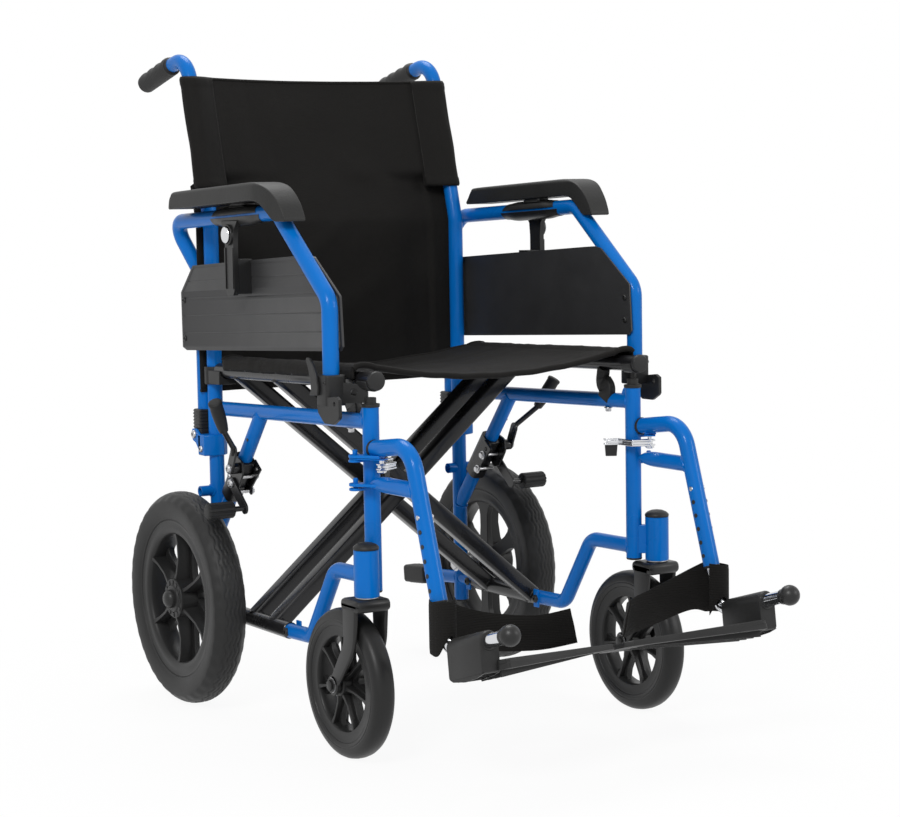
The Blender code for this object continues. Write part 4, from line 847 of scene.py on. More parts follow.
def finish_of(name):
    if name not in MADE_FINISHES:
        MADE_FINISHES[name] = FINISHES[name]()
    return MADE_FINISHES[name]


# Pieces


def piece(name, shape, finish, body, nodes=(), bevel=0.0, crease=38.0):
    """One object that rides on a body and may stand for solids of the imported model."""
    points, faces = shape
    mesh = bpy.data.meshes.new(name)
    mesh.from_pydata([tuple(point) for point in points], [], faces)
    mesh.materials.append(finish_of(finish))
    mesh.shade_smooth()
    mesh.set_sharp_from_angle(angle=math.radians(crease))
    made = bpy.data.objects.new(name, mesh)
    bpy.context.collection.objects.link(made)
    if bevel:
        soften = made.modifiers.new("soft edges", "BEVEL")
        soften.width = bevel
        soften.segments = 2
        soften.limit_method = "ANGLE"
        soften.angle_limit = math.radians(35.0)
    if body:
        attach(made, body)
    if nodes:
        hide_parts(*nodes)
    return made


def pair(name, shape, finish, body, node=None, bevel=0.0, crease=38.0):
    """The left piece as drawn and the right one mirrored."""
    made = []
    for side in ("left", "right"):
        placed = shape if side == "left" else mirrored(shape)
        carrier = side + "_frame" if body == "frame" else body + "_" + side
        nodes = [node + "_" + side] if node else []
        made.append(piece(name + "_" + side, placed, finish, carrier, nodes, bevel, crease))
    return made


# Side frames


def cane_path():
    corner = spot(PLANE, *HANDLE_CORNER)
    end = corner + Vector((0.0, 1.0, -HANDLE_DROP)) * (GRIP_TO - 0.008 + HANDLE_CORNER[0])
    corners = [spot(PLANE, CANE_AHEAD, CANE_FOOT), spot(PLANE, CANE_AHEAD, CANE_BEND_UP), corner, end]
    return rounded(corners, HANDLE_BEND, 12)


def lower_front_path():
    corners = [
        spot(PLANE, POST_AHEAD, 0.2405),
        spot(PLANE, 0.352, 0.2385),
        spot(PLANE, 0.283, BRACE_UP + 0.0025),
        spot(PLANE, BRACE_TO + 0.0008, BRACE_UP),
    ]
    return rounded(corners, 0.028, 10)


def frame_joints():
    """Each joined tube as (start, end, radius, point on the other tube, its run, its radius)."""
    cane = spot(PLANE, CANE_AHEAD, 0.3)
    post = spot(PLANE, POST_AHEAD, 0.3)
    side_rear = spot(PLANE, CANE_AHEAD, side_tube_up(0))
    side_front = spot(PLANE, POST_AHEAD, side_tube_up(POST_AHEAD))
    strut_top = spot(PLANE, STRUT_AHEAD, side_tube_up(STRUT_AHEAD))
    strut_foot = spot(PLANE, CANE_AHEAD, STRUT_FOOT)
    lower_front = spot(PLANE, POST_AHEAD, 0.2405)
    lower_rear = spot(PLANE, CANE_AHEAD, BRACE_UP)
    tip = spot(PLANE, TIP_AHEAD, TIP_UP)
    return [
        (side_front, side_rear, JOINED_TUBE, cane, UP, TUBE),
        (side_rear, side_front, JOINED_TUBE, post, UP, TUBE),
        (strut_foot, strut_top, JOINED_TUBE, side_front, side_rear - side_front, JOINED_TUBE),
        (strut_top, strut_foot, JOINED_TUBE, cane, UP, TUBE),
        (spot(PLANE, 0.352, 0.2385), lower_front, JOINED_TUBE, post, UP, TUBE),
        (spot(PLANE, BRACE_FROM, BRACE_UP), lower_rear, JOINED_TUBE, cane, UP, TUBE),
        (tip, lower_rear, 0.97 * JOINED_TUBE, cane, UP, TUBE),
        (spot(PLANE + 0.05, CANE_AHEAD, STUB_UP), spot(PLANE, CANE_AHEAD, STUB_UP), 0.0078, cane, UP, TUBE),
    ]


def side_frame_tubes():
    joints = frame_joints()
    shapes = [weld(*joint) for joint in joints]
    for start, end, radius, *_ in (joints[0], joints[2], joints[5], joints[6]):
        shapes.append(rod(start, end, radius))
    shapes.append(tube(cane_path(), TUBE))
    shapes.append(rod(spot(PLANE, POST_AHEAD, POST_FOOT), spot(PLANE, POST_AHEAD, POST_TOP), TUBE))
    shapes.append(tube(lower_front_path(), JOINED_TUBE))
    stub = spot(PLANE, CANE_AHEAD, STUB_UP)
    wall = [(0.0048, 0.008), (0.0078, -0.022), (0.0078, 0.0285), (0.0073, 0.029), (0.0052, 0.029), (0.0048, 0.0285)]
    shapes.append(turned(stub, OUT, wall, 32))
    barrel = [(0.0, 0.0148), (0.001, 0.0165), (0.061, 0.0165), (0.062, 0.0150)]
    shapes.append(spun(spot(CASTOR_OUTBOARD, CASTOR_AHEAD, BARREL_FOOT), UP, barrel, 40))
    return merged(*shapes)


def arm_clamp():
    """The pressed band round the cane, with two cheeks behind it that hold the armrest's pin."""
    top = ARM_PIVOT_UP + 0.001
    foot = top - 0.031
    band = [
        (ARM_LEG_OUTBOARD - 0.0189, CANE_AHEAD - 0.0145),
        (ARM_LEG_OUTBOARD - 0.0189, CANE_AHEAD + 0.006),
        (PLANE - 0.006, CANE_AHEAD + 0.0135),
        (PLANE + 0.008, CANE_AHEAD + 0.0135),
        (ARM_LEG_OUTBOARD + 0.0189, CANE_AHEAD + 0.006),
        (ARM_LEG_OUTBOARD + 0.0189, CANE_AHEAD - 0.0145),
    ]
    rings = []
    for up, shrink in ((foot, 0.0012), (foot + 0.0012, 0.0), (top - 0.0012, 0.0), (top, 0.0012)):
        ring = []
        for out, ahead in band:
            inner = shrink if out > PLANE else -shrink
            ring.append(spot(out - inner, ahead - shrink * (ahead > CANE_AHEAD), up))
        rings.append(ring)
    shapes = [loft(rings)]
    back = CANE_AHEAD - 0.0075
    rear = ARM_REAR_AHEAD
    corners = [
        (back, foot + 0.001),
        (back, top - 0.001),
        (rear + 0.006, ARM_PIVOT_UP + 0.0085),
        (rear - 0.007, ARM_PIVOT_UP + 0.0080),
        (rear - 0.0108, ARM_PIVOT_UP - 0.001),
        (rear - 0.006, ARM_PIVOT_UP - 0.0095),
        (rear + 0.003, ARM_PIVOT_UP - 0.0125),
    ]
    for out in (ARM_LEG_OUTBOARD - 0.0189, ARM_LEG_OUTBOARD + 0.0159):
        shapes.append(side_plate(corners, out, 0.003))
    return shapes


def side_frame_plates():
    """The blue tabs, lugs and gussets."""
    low = BARREL_FOOT + 0.010
    gusset = [
        spot(PLANE - 0.004, POST_AHEAD - 0.008, low),
        spot(CASTOR_OUTBOARD - 0.002, CASTOR_AHEAD - 0.009, low),
        spot(CASTOR_OUTBOARD + 0.002, CASTOR_AHEAD + 0.009, low),
        spot(PLANE - 0.004, POST_AHEAD + 0.008, low),
    ]
    shapes = [slab(gusset, UP * 0.040)]
    for up in (UPPER_TAB_UP, LOWER_TAB_UP):
        shapes.append(tab((PIN_OUTBOARD, LEG_PIN_AHEAD), 0.0085, (PLANE, POST_AHEAD), 0.0075, up, TAB_THICK))
        pin = spot(PIN_OUTBOARD, LEG_PIN_AHEAD, up + 0.001)
        shapes.append(rod(pin, pin + UP * 0.0155, 0.0033, 0.0010, 20))
    lug = []
    for step in range(9):
        angle = math.pi / 2 * step / 8
        lug.append((POST_AHEAD - TUBE + 0.002 - 0.014 * math.sin(angle), 0.4500 + 0.016 * math.cos(angle)))
    lug.append((POST_AHEAD - TUBE + 0.002, 0.4500))
    shapes.append(side_plate(lug, PLANE - 0.003, 0.006))
    shapes += arm_clamp()
    for ahead in (BRACE_TO + 0.006, BRACE_FROM - 0.006):
        ear = [(ahead - 0.006, 0.120), (ahead + 0.006, 0.120), (ahead + 0.006, 0.147), (ahead - 0.006, 0.147)]
        shapes.append(side_plate(ear, PLANE - 0.0118, 0.003))
    return merged(*shapes)


def side_frame_black():
    """End plugs, bolt heads, and black discs as painted shade: a thin sheet deep in the stub's bore and small discs on
    the holes in the tubes.
    """
    foot = spot(PLANE, CANE_AHEAD, CANE_FOOT)
    shapes = [
        spun(foot, -UP, [(-0.004, 0.0100), (0.0, 0.0112), (0.0025, 0.0108), (0.004, 0.0070)]),
        spun(spot(PLANE, POST_AHEAD, POST_FOOT), -UP, [(-0.004, 0.0100), (0.0, 0.0112), (0.002, 0.0105), (0.003, 0.006)]),
        # A dark sheet 0.1 mm thick inside the stub's open bore: painted shade for the bore's dark inside.
        spun(spot(PLANE + 0.012, CANE_AHEAD, STUB_UP), OUT, [(0.0, 0.0047), (0.0001, 0.0047)]),
    ]
    # Black discs just proud of the side tube and the strut where they have holes: painted shade for the holes' dark
    # insides.
    for ahead, up, radius in ((0.350, side_tube_up(0.350), JOINED_TUBE), (0.118, 0.394, JOINED_TUBE)):
        place = spot(PLANE + radius - 0.0012, ahead, up)
        shapes.append(spun(place, OUT, [(0.0, 0.0024), (0.0014, 0.0024)], 20))
    for ahead in (BRACE_TO + 0.006, BRACE_FROM - 0.006):
        shapes.append(cap_screw(spot(PLANE + JOINED_TUBE - 0.001, ahead, BRACE_UP), OUT, 0.0060, 0.004))
        shapes.append(cap_screw(spot(PLANE - 0.0118, ahead, BRACE_UP), -OUT, 0.0060, 0.004))
    return merged(*shapes)


def side_frame_bright():
    """Plated washers under the barrel and the pin of the armrest clamp."""
    stem = spot(CASTOR_OUTBOARD, CASTOR_AHEAD, BARREL_FOOT)
    shapes = [
        spun(stem, -UP, [(-0.002, 0.0140), (0.0, 0.0150), (0.0008, 0.0150), (0.0016, 0.0132)], 40),
        rod(
            spot(ARM_LEG_OUTBOARD - 0.0195, ARM_REAR_AHEAD, ARM_PIVOT_UP),
            spot(ARM_LEG_OUTBOARD + 0.0195, ARM_REAR_AHEAD, ARM_PIVOT_UP),
            0.0049,
            0.0008,
            24,
        ),
    ]
    for way in (-1, 1):
        head = spot(ARM_LEG_OUTBOARD + way * 0.0187, ARM_REAR_AHEAD, ARM_PIVOT_UP)
        shapes.append(cap_screw(head, OUT * way, 0.0062, 0.0042))
    screw = spot(ARM_LEG_OUTBOARD + 0.0186, CANE_AHEAD - 0.004, ARM_PIVOT_UP - 0.020)
    shapes.append(cap_screw(screw, OUT, 0.0048, 0.0034))
    return merged(*shapes)


def push_grip():
    """A rubber grip with finger scallops below and a flange at each end."""
    run = Vector((0.0, 1.0, -HANDLE_DROP))
    corner = spot(PLANE, *HANDLE_CORNER)
    start = corner + run * (GRIP_FROM + HANDLE_CORNER[0])
    end = corner + run * (GRIP_TO + HANDLE_CORNER[0])
    run = (end - start).normalized()
    up = run.cross(OUT)
    long = (end - start).length
    sides = shape_settings().tube_sides
    rings = []
    rows = 84
    for row in range(rows + 1):
        share = row / rows
        edge = min(share, 1.0 - share) * long
        round_off = 0.0035 * (1.0 - min(1.0, edge / 0.004)) ** 2
        ring_groove = 0.0005 * (0.5 - 0.5 * math.cos(2 * math.pi * share * 21))
        ring = []
        for step in range(sides):
            angle = 2 * math.pi * step / sides
            below = max(0.0, -math.sin(angle)) ** 1.5
            scallop = 0.0021 * (0.5 - 0.5 * math.cos(2 * math.pi * share * 4)) * below
            radius = GRIP_RADIUS - round_off - ring_groove * (1.0 - below) - 0.0016 * below + scallop
            ring.append(start + run * long * share + (OUT * math.cos(angle) + up * math.sin(angle)) * radius)
        rings.append(ring)
    return loft(rings)


def tipping_pad():
    """A squarish rubber sleeve with ribs to step on."""
    start = spot(PLANE, CANE_AHEAD, BRACE_UP)
    end = spot(PLANE, TIP_AHEAD, TIP_UP)
    run = (end - start).normalized()
    path = []
    outlines = []
    rows = 30
    for row in range(rows + 1):
        share = row / rows
        edge = min(share, 1.0 - share) * 0.062
        shrink = 0.0022 * (1.0 - min(1.0, edge / 0.003)) ** 2
        rib = 0.0006 * (row % 4 == 2) * (0.15 < share < 0.85)
        path.append(start + run * (0.095 + 0.063 * share))
        outlines.append(soft_box(0.0134 - shrink, 0.0143 - shrink + rib, 0.0055))
    return swept(path, outlines)


class WHEELCHAIR_OT_side_frames(bpy.types.Operator):
    """Draws both side frames with their welds, plugs, grips and tipping pads"""

    bl_idname = "wheelchair.side_frames"
    bl_label = "Side frames"

    def execute(self, context):
        pair("frame_tubes", side_frame_tubes(), "blue_paint", "frame", "side_frame")
        pair("frame_plates", side_frame_plates(), "blue_paint", "frame", None, 0.0008)
        pair("frame_plugs_and_hole_shade", side_frame_black(), "black_plastic", "frame")
        pair("frame_washers", side_frame_bright(), "zinc", "frame")
        pair("handle_grip", push_grip(), "grip_rubber", "frame", "push_grip", 0.0, 50.0)
        pair("tipping_sleeve", tipping_pad(), "grip_rubber", "frame", "tipping_pad", 0.0, 30.0)
        return {"FINISHED"}


# Wheels


def spoke_web(centre, angle, stations):
    """A spoke from (reach, half width, inboard face, outboard face) stations."""
    out = Vector((0.0, math.cos(angle), math.sin(angle)))
    across = Vector((0.0, -math.sin(angle), math.cos(angle)))
    rings = []
    for reach, half, low, high in stations:
        middle = centre + out * reach
        rings.append(
            [
                middle - across * half + OUT * low,
                middle + across * half + OUT * low,
                middle + across * half + OUT * high,
                middle - across * half + OUT * high,
            ]
        )
    return loft(rings)


def rear_wheel():
    centre = spot(REAR_OUTBOARD, 0.0, REAR_RADIUS)
    ring = both_halves(
        [
            (0.0935, 0.004),
            (0.0940, 0.0130),
            (0.0955, 0.0165),
            (0.0985, 0.0184),
            (0.1045, 0.0188),
            (0.1095, 0.0178),
            (0.1125, 0.0186),
            (0.1148, 0.0190),
            (0.1155, 0.0178),
            (0.1130, 0.0130),
        ]
    )
    hub = [
        (-0.0300, 0.0240),
        (-0.0290, 0.0262),
        (0.0180, 0.0290),
        (0.0215, 0.0290),
        (0.0225, 0.0282),
        (0.0225, 0.0200),
        (0.0245, 0.0190),
        (0.0250, 0.0150),
    ]
    shapes = [turned(centre, OUT, ring, 120), spun(centre, OUT, hub, 60)]
    for index in range(6):
        angle = 2 * math.pi * (index + 0.5) / 6
        web = [
            (0.020, 0.0150, -0.0150, -0.004),
            (0.034, 0.0110, -0.0145, -0.005),
            (0.055, 0.0100, -0.0140, -0.006),
            (0.074, 0.0105, -0.0140, -0.006),
            (0.086, 0.0140, -0.0140, -0.005),
            (0.0945, 0.0220, -0.0140, -0.003),
        ]
        rib = [
            (0.022, 0.0034, -0.008, 0.0215),
            (0.036, 0.0025, -0.008, 0.0165),
            (0.060, 0.0021, -0.008, 0.0130),
            (0.082, 0.0022, -0.008, 0.0140),
            (0.0950, 0.0034, -0.008, 0.0170),
        ]
        shapes.append(spoke_web(centre, angle, web))
        shapes.append(spoke_web(centre, angle, rib))
    for index in range(12):
        angle = 2 * math.pi * index / 12
        bead = [(0.0205, 0.0022, 0.022, 0.0236), (0.0270, 0.0030, 0.022, 0.0236)]
        shapes.append(spoke_web(centre, angle, bead))
    return merged(*shapes)


def rear_tyre():
    """A pneumatic tyre with stepped beads, shoulder blocks and zigzag grooves."""
    settings = shape_settings()
    centre = spot(REAR_OUTBOARD, 0.0, REAR_RADIUS)
    wall = [
        (0.1125, 0.0150),
        (0.1150, 0.0186),
        (0.1162, 0.0204),
        (0.1180, 0.0207),
        (0.1190, 0.0214),
        (0.1240, 0.0230),
        (0.1310, 0.0245),
        (0.1375, 0.0249),
        (0.1420, 0.0246),
    ]
    half_tread = 0.0242
    samples = 48
    rings = []
    for segment in range(settings.wheel_segments):
        angle = 2 * math.pi * segment / settings.wheel_segments
        turn = settings.tread_blocks * segment / settings.wheel_segments % 1.0
        zigzag = 0.0023 * (4 * abs(turn - 0.5) - 1.0)
        profile = list(wall)
        for step in range(samples + 1):
            across = half_tread * (1.0 - 2.0 * step / samples)
            radius = REAR_RADIUS - 0.0118 * (abs(across) / half_tread) ** 2.5
            depth = 0.0
            for line in (-0.0098, -0.0033, 0.0033, 0.0098):
                depth = max(depth, 1.0 - abs(across - line - zigzag) / 0.0013)
            if abs(across) > 0.0165 and turn < 0.34:
                depth = 0.55
            profile.append((radius - settings.tread_depth * max(0.0, depth), across))
        profile += [(radius, -along) for radius, along in reversed(wall)]
        out = Vector((0.0, math.cos(angle), math.sin(angle)))
        rings.append([centre + out * radius + OUT * along for radius, along in profile])
    return loft(rings, closed=True)


def rear_axle():
    """The bolt, its nut inboard and the spacer."""
    hub = spot(REAR_OUTBOARD, 0.0, REAR_RADIUS)
    wall = spot(PLANE - TUBE - 0.0004, 0.0, REAR_RADIUS)
    return merged(
        rod(spot(PLANE - TUBE - 0.004, 0.0, REAR_RADIUS), hub + OUT * 0.030, 0.0058, 0.0008, 24),
        hex_bolt(wall, -OUT, 0.0085, 0.006),
        spun(spot(PLANE + TUBE, 0.0, REAR_RADIUS), OUT, [(0.0, 0.0110), (0.001, 0.0115), (0.0145, 0.0115)]),
    )


def axle_cap():
    hub = spot(REAR_OUTBOARD, 0.0, REAR_RADIUS)
    dome = [(0.0240, 0.0135), (0.0290, 0.0135), (0.0325, 0.0120), (0.0352, 0.0088), (0.0368, 0.0040)]
    return spun(hub, OUT, dome, 40)


def castor_wheel():
    """A solid tyre on a moulded wheel with ribbed spokes."""
    centre = spot(CASTOR_OUTBOARD, CASTOR_AXLE_AHEAD, CASTOR_RADIUS)
    tyre = both_halves(
        [
            (0.0770, 0.0100),
            (0.0776, 0.0140),
            (0.0790, 0.0152),
            (0.0832, 0.0158),
            (0.0840, 0.0150),
            (0.0848, 0.0159),
            (0.0890, 0.0156),
            (0.0930, 0.0143),
            (0.0965, 0.0116),
            (0.0986, 0.0076),
            (0.0995, 0.0028),
        ]
    )
    rim = both_halves(
        [
            (0.0620, 0.0030),
            (0.0626, 0.0105),
            (0.0640, 0.0124),
            (0.0670, 0.0128),
            (0.0745, 0.0128),
            (0.0760, 0.0136),
            (0.0780, 0.0136),
        ]
    )
    hub = [(-0.0175, 0.0140), (-0.0165, 0.0155), (0.0165, 0.0155), (0.0175, 0.0140), (0.0175, 0.0090), (0.0165, 0.0080)]
    shapes = [turned(centre, OUT, tyre, 120), turned(centre, OUT, rim, 120), spun(centre, OUT, hub, 48)]
    for index in range(7):
        angle = 2 * math.pi * (index + 0.75) / 7
        web = [
            (0.012, 0.0088, -0.0035, 0.0035),
            (0.022, 0.0062, -0.0035, 0.0035),
            (0.046, 0.0056, -0.0035, 0.0035),
            (0.056, 0.0085, -0.0035, 0.0035),
            (0.0635, 0.0150, -0.0035, 0.0035),
        ]
        rib = [
            (0.013, 0.0026, -0.0150, 0.0150),
            (0.030, 0.0018, -0.0110, 0.0110),
            (0.052, 0.0018, -0.0105, 0.0105),
            (0.0640, 0.0030, -0.0120, 0.0120),
        ]
        shapes.append(spoke_web(centre, angle, web))
        shapes.append(spoke_web(centre, angle, rib))
    return merged(*shapes)


def castor_fork():
    """A moulded fork: a wide round crown, two legs that sweep back and a boss at each axle end."""
    top = CROWN_FOOT + 0.0165
    shapes = []
    crown_path = []
    crown_outline = []
    for share, shrink in ((-1.0, 0.0050), (-0.93, 0.0014), (-0.80, 0.0), (0.80, 0.0), (0.93, 0.0014), (1.0, 0.0050)):
        crown_path.append(spot(CASTOR_OUTBOARD + 0.0255 * share, CASTOR_AHEAD - 0.004, top - 0.0082))
        crown_outline.append(soft_box(0.0240 - shrink, 0.0082 - 0.6 * shrink, 0.0066, 6))
    shapes.append(swept(crown_path, crown_outline, AHEAD))
    stem = spot(CASTOR_OUTBOARD, CASTOR_AHEAD, top)
    shapes.append(spun(stem, UP, [(-0.003, 0.0185), (0.0, 0.0160), (0.0008, 0.0140), (0.0012, 0.0120)], 40))
    shapes.append(rod(stem - UP * 0.004, spot(CASTOR_OUTBOARD, CASTOR_AHEAD, BARREL_TOP - 0.010), 0.0062, 0.0008, 20))
    for way in (-1, 1):
        middle = CASTOR_OUTBOARD + way * 0.0225
        corners = [
            spot(middle, CASTOR_AHEAD - 0.005, top - 0.006),
            spot(middle, CASTOR_AHEAD - 0.007, 0.158),
            spot(middle, CASTOR_AXLE_AHEAD, CASTOR_RADIUS),
        ]
        path = rounded(corners, 0.045, 14)
        outlines = []
        for point in path:
            share = smooth_step(point.z, CASTOR_RADIUS, top)
            outlines.append(soft_box(0.0030, 0.0098 + 0.0080 * share, 0.0028))
        shapes.append(swept(path, outlines))
        axle = spot(middle, CASTOR_AXLE_AHEAD, CASTOR_RADIUS)
        boss = [(-0.0030, 0.0125), (-0.0022, 0.0135), (0.0022, 0.0135), (0.0030, 0.0125)]
        shapes.append(spun(axle, OUT, boss, 40))
    return merged(*shapes)


def castor_bolts():
    axle = spot(CASTOR_OUTBOARD, CASTOR_AXLE_AHEAD, CASTOR_RADIUS)
    return merged(
        rod(axle - OUT * 0.026, axle + OUT * 0.026, 0.004, 0.0005, 16),
        spun(axle + OUT * 0.0255, OUT, [(0.0, 0.0100), (0.0012, 0.0100), (0.0016, 0.0092)], 32),
        spun(axle - OUT * 0.0255, -OUT, [(0.0, 0.0100), (0.0012, 0.0100), (0.0016, 0.0092)], 32),
    )


def castor_nuts():
    """The black caps over the axle's ends."""
    axle = spot(CASTOR_OUTBOARD, CASTOR_AXLE_AHEAD, CASTOR_RADIUS)
    return merged(
        hex_bolt(axle + OUT * 0.0268, OUT, 0.0075, 0.0044),
        hex_bolt(axle - OUT * 0.0268, -OUT, 0.0075, 0.0044),
    )


def castor_cap():
    top = spot(CASTOR_OUTBOARD, CASTOR_AHEAD, BARREL_TOP)
    dome = [(0.0, 0.0166), (0.0016, 0.0169), (0.0034, 0.0165), (0.0062, 0.0135), (0.0084, 0.0085), (0.0093, 0.0030)]
    return spun(top, UP, dome, 40)


class WHEELCHAIR_OT_wheels(bpy.types.Operator):
    """Draws the rear wheels and the castors with their forks and bolts"""

    bl_idname = "wheelchair.wheels"
    bl_label = "Wheels"

    def execute(self, context):
        pair("rear_wheel_rim", rear_wheel(), "black_plastic", "rear_wheel", "rear_rim", 0.0012)
        pair("rear_wheel_tyre", rear_tyre(), "tyre", "rear_wheel", "rear_tyre", 0.0, 32.0)
        pair("rear_wheel_bolt", rear_axle(), "zinc", "frame", "rear_axle")
        pair("rear_wheel_cap", axle_cap(), "black_gloss", "frame")
        pair("castor_tyre", castor_wheel(), "castor_rubber", "castor_wheel", "castor_wheel", 0.0008)
        pair("castor_legs", castor_fork(), "black_gloss", "castor_fork", "castor_fork")
        pair("castor_bolts", castor_bolts(), "zinc", "castor_fork", "castor_axle")
        pair("castor_nuts", castor_nuts(), "black_gloss", "castor_fork")
        pair("castor_dome", castor_cap(), "black_plastic", "frame", "castor_cap")
        return {"FINISHED"}


# Cross brace


def brace_member(diagonals, lower_side):
    """One scissor member: its lower tube on one side, two boxy diagonals and the seat rail opposite."""
    lower = lower_side * PLANE
    upper = -lower
    rail_start = spot(upper, RAIL_FROM, rail_up(RAIL_FROM))
    rail_end = spot(upper, RAIL_TO, rail_up(RAIL_TO))
    low_start = spot(lower, BRACE_FROM, BRACE_UP)
    low_end = spot(lower, BRACE_TO, BRACE_UP)
    shapes = [rod(low_start, low_end, BRACE_TUBE), rod(rail_start, rail_end, RAIL)]
    outline = soft_box(0.0116, 0.0120, 0.0050, 5)
    for ahead in diagonals:
        low = spot(lower, ahead, BRACE_UP)
        high = spot(upper, ahead, rail_up(ahead))
        shapes.append(swept([low, high], outline, AHEAD))
        shapes.append(weld(high, low, 0.0118, low_start, low_end - low_start, BRACE_TUBE))
        shapes.append(weld(low, high, 0.0118, rail_start, rail_end - rail_start, RAIL))
    return merged(*shapes)


def brace_bolts():
    shapes = []
    for outer, way in zip(OUTER_DIAGONALS, (-1, 1)):
        head = spot(0.0, outer + way * 0.0116, PIVOT_UP)
        shapes.append(hex_bolt(head, AHEAD * way, 0.0075, 0.0062))
    return merged(*shapes)


def rail_cap(side):
    end = spot(side * PLANE, RAIL_TO - 0.001, rail_up(RAIL_TO))
    return spun(end, AHEAD, [(-0.003, 0.0118), (0.0, 0.0126), (0.0030, 0.0126), (0.0045, 0.0116), (0.0052, 0.0080)], 40)


class WHEELCHAIR_OT_cross_brace(bpy.types.Operator):
    """Draws the two members of the cross brace with the seat rails"""

    bl_idname = "wheelchair.cross_brace"
    bl_label = "Cross brace"

    def execute(self, context):
        inner = brace_member(INNER_DIAGONALS, -1)
        outer = brace_member(OUTER_DIAGONALS, 1)
        piece("brace_inner_tubes", inner, "black_paint", "brace_inner", ["brace_inner"])
        piece("brace_outer_tubes", outer, "black_paint", "brace_outer", ["brace_outer"])
        piece("brace_pivot_bolts", brace_bolts(), "zinc", "brace_inner")
        piece("rail_cap_left", rail_cap(1), "black_plastic", "brace_inner")
        piece("rail_cap_right", rail_cap(-1), "black_plastic", "brace_outer")
        return {"FINISHED"}


# Slings


def thickened(made, thick):
    """Gives a sheet its cloth thickness, evenly on both sides."""
    solid = made.modifiers.new("cloth thickness", "SOLIDIFY")
    solid.thickness = thick
    solid.offset = 0.0


def seat_section(ahead):
    """Half of the seat across the chair, from the outboard lip to the middle, as (outboard, up) pairs."""
    lip = [
        (0.0128, 0.0020),
        (0.0142, 0.0060),
        (0.0146, 0.0110),
        (0.0132, 0.0160),
        (0.0095, 0.0192),
        (0.0030, 0.0205),
        (-0.0050, 0.0202),
        (-0.0120, 0.0188),
        (-0.0170, 0.0170),
        (-0.0200, 0.0155),
        (-0.0225, 0.0158),
    ]
    settings = shape_settings()
    front = smooth_step(ahead, SEAT_TO - 0.045, SEAT_TO)
    rear = 1.0 - smooth_step(ahead, SEAT_FROM, SEAT_FROM + 0.05)
    sag = settings.seat_sag * (1.0 - 0.10 * front - 0.20 * rear)
    section = []
    for out, up in lip:
        wave = 0.0013 * ripple(ahead * 26.0, up * 90.0, 1.0) + 0.0006 * ripple(ahead * 75.0, 4.0, 2.0)
        section.append((PLANE + out + 0.8 * wave, rail_up(ahead) + up + wave))
    edge_out, edge_up = section[-1]
    for step in range(1, 22):
        share = step / 21
        fold = settings.wrinkle * ripple(ahead * 9.0, share * 4.0, 3.0) * smooth_step(share, 0.0, 0.15)
        drop = sag * (1.0 - (1.0 - share) ** 2) + 0.002 * front * share
        section.append((edge_out * (1.0 - share), edge_up - drop + fold))
    return section


def seat_sheet():
    rows = []
    count = 64
    for row in range(count + 1):
        ahead = SEAT_FROM + (SEAT_TO - SEAT_FROM) * row / count
        left = [spot(out, ahead, up) for out, up in seat_section(ahead)]
        right = []
        for out, up in seat_section(ahead):
            right.append(spot(-out, ahead + 0.0007, up + 0.0009 * ripple(ahead * 20.0, out * 15.0, 9.0)))
        rows.append(left + list(reversed(right[:-1])))
    return grid(rows)


def seat_hem(ahead):
    """The rolled hem along an edge of the seat."""
    left = [spot(out, ahead, up - 0.001) for out, up in seat_section(ahead)[3:]]
    right = [Vector((-point.x, point.y, point.z)) for point in left[:-1]]
    return tube(left + list(reversed(right)), 0.0042, 12)


def seat_rivets():
    """Small rivets along the lip that hold the cloth to a rail, for the left side."""
    shapes = []
    for index in range(8):
        ahead = 0.078 + 0.047 * index
        place = spot(PLANE + 0.0132, ahead, rail_up(ahead) + 0.0045)
        shapes.append(cap_screw(place, OUT, 0.0024, 0.0016))
    return merged(*shapes)


class WHEELCHAIR_OT_seat(bpy.types.Operator):
    """Draws the seat sling, its hems and its rivets"""

    bl_idname = "wheelchair.seat"
    bl_label = "Seat sling"

    def execute(self, context):
        hem_front = piece("seat_hem_front", seat_hem(SEAT_TO), "black_cloth", None, (), 0.0, 60.0)
        hem_rear = piece("seat_hem_rear", seat_hem(SEAT_FROM), "black_cloth", None, (), 0.0, 60.0)
        seat = piece("seat_cloth", seat_sheet(), "black_cloth", None, ["seat_sling"], 0.0, 60.0)
        thickened(seat, 0.0022)
        for made in (seat, hem_front, hem_rear):
            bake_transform(made)
        rivets = seat_rivets()
        piece("seat_rivets_left", rivets, "black_gloss", "brace_inner")
        piece("seat_rivets_right", mirrored(rivets), "black_gloss", "brace_outer")
        return {"FINISHED"}


def back_crease(x, up):
    """How far soft pulls in the back's cloth stand out at a point."""
    rise = 0.0
    for start, end, wide, high in BACK_PULLS:
        run = end - start
        at = Vector((x, up)) - start
        along = at.dot(run) / run.length_squared
        off = (at - run * along).length / wide
        rise += high * math.exp(-off * off) * smooth_step(along, -0.1, 0.4) * smooth_step(1.0 - along, -0.1, 0.4)
    return rise


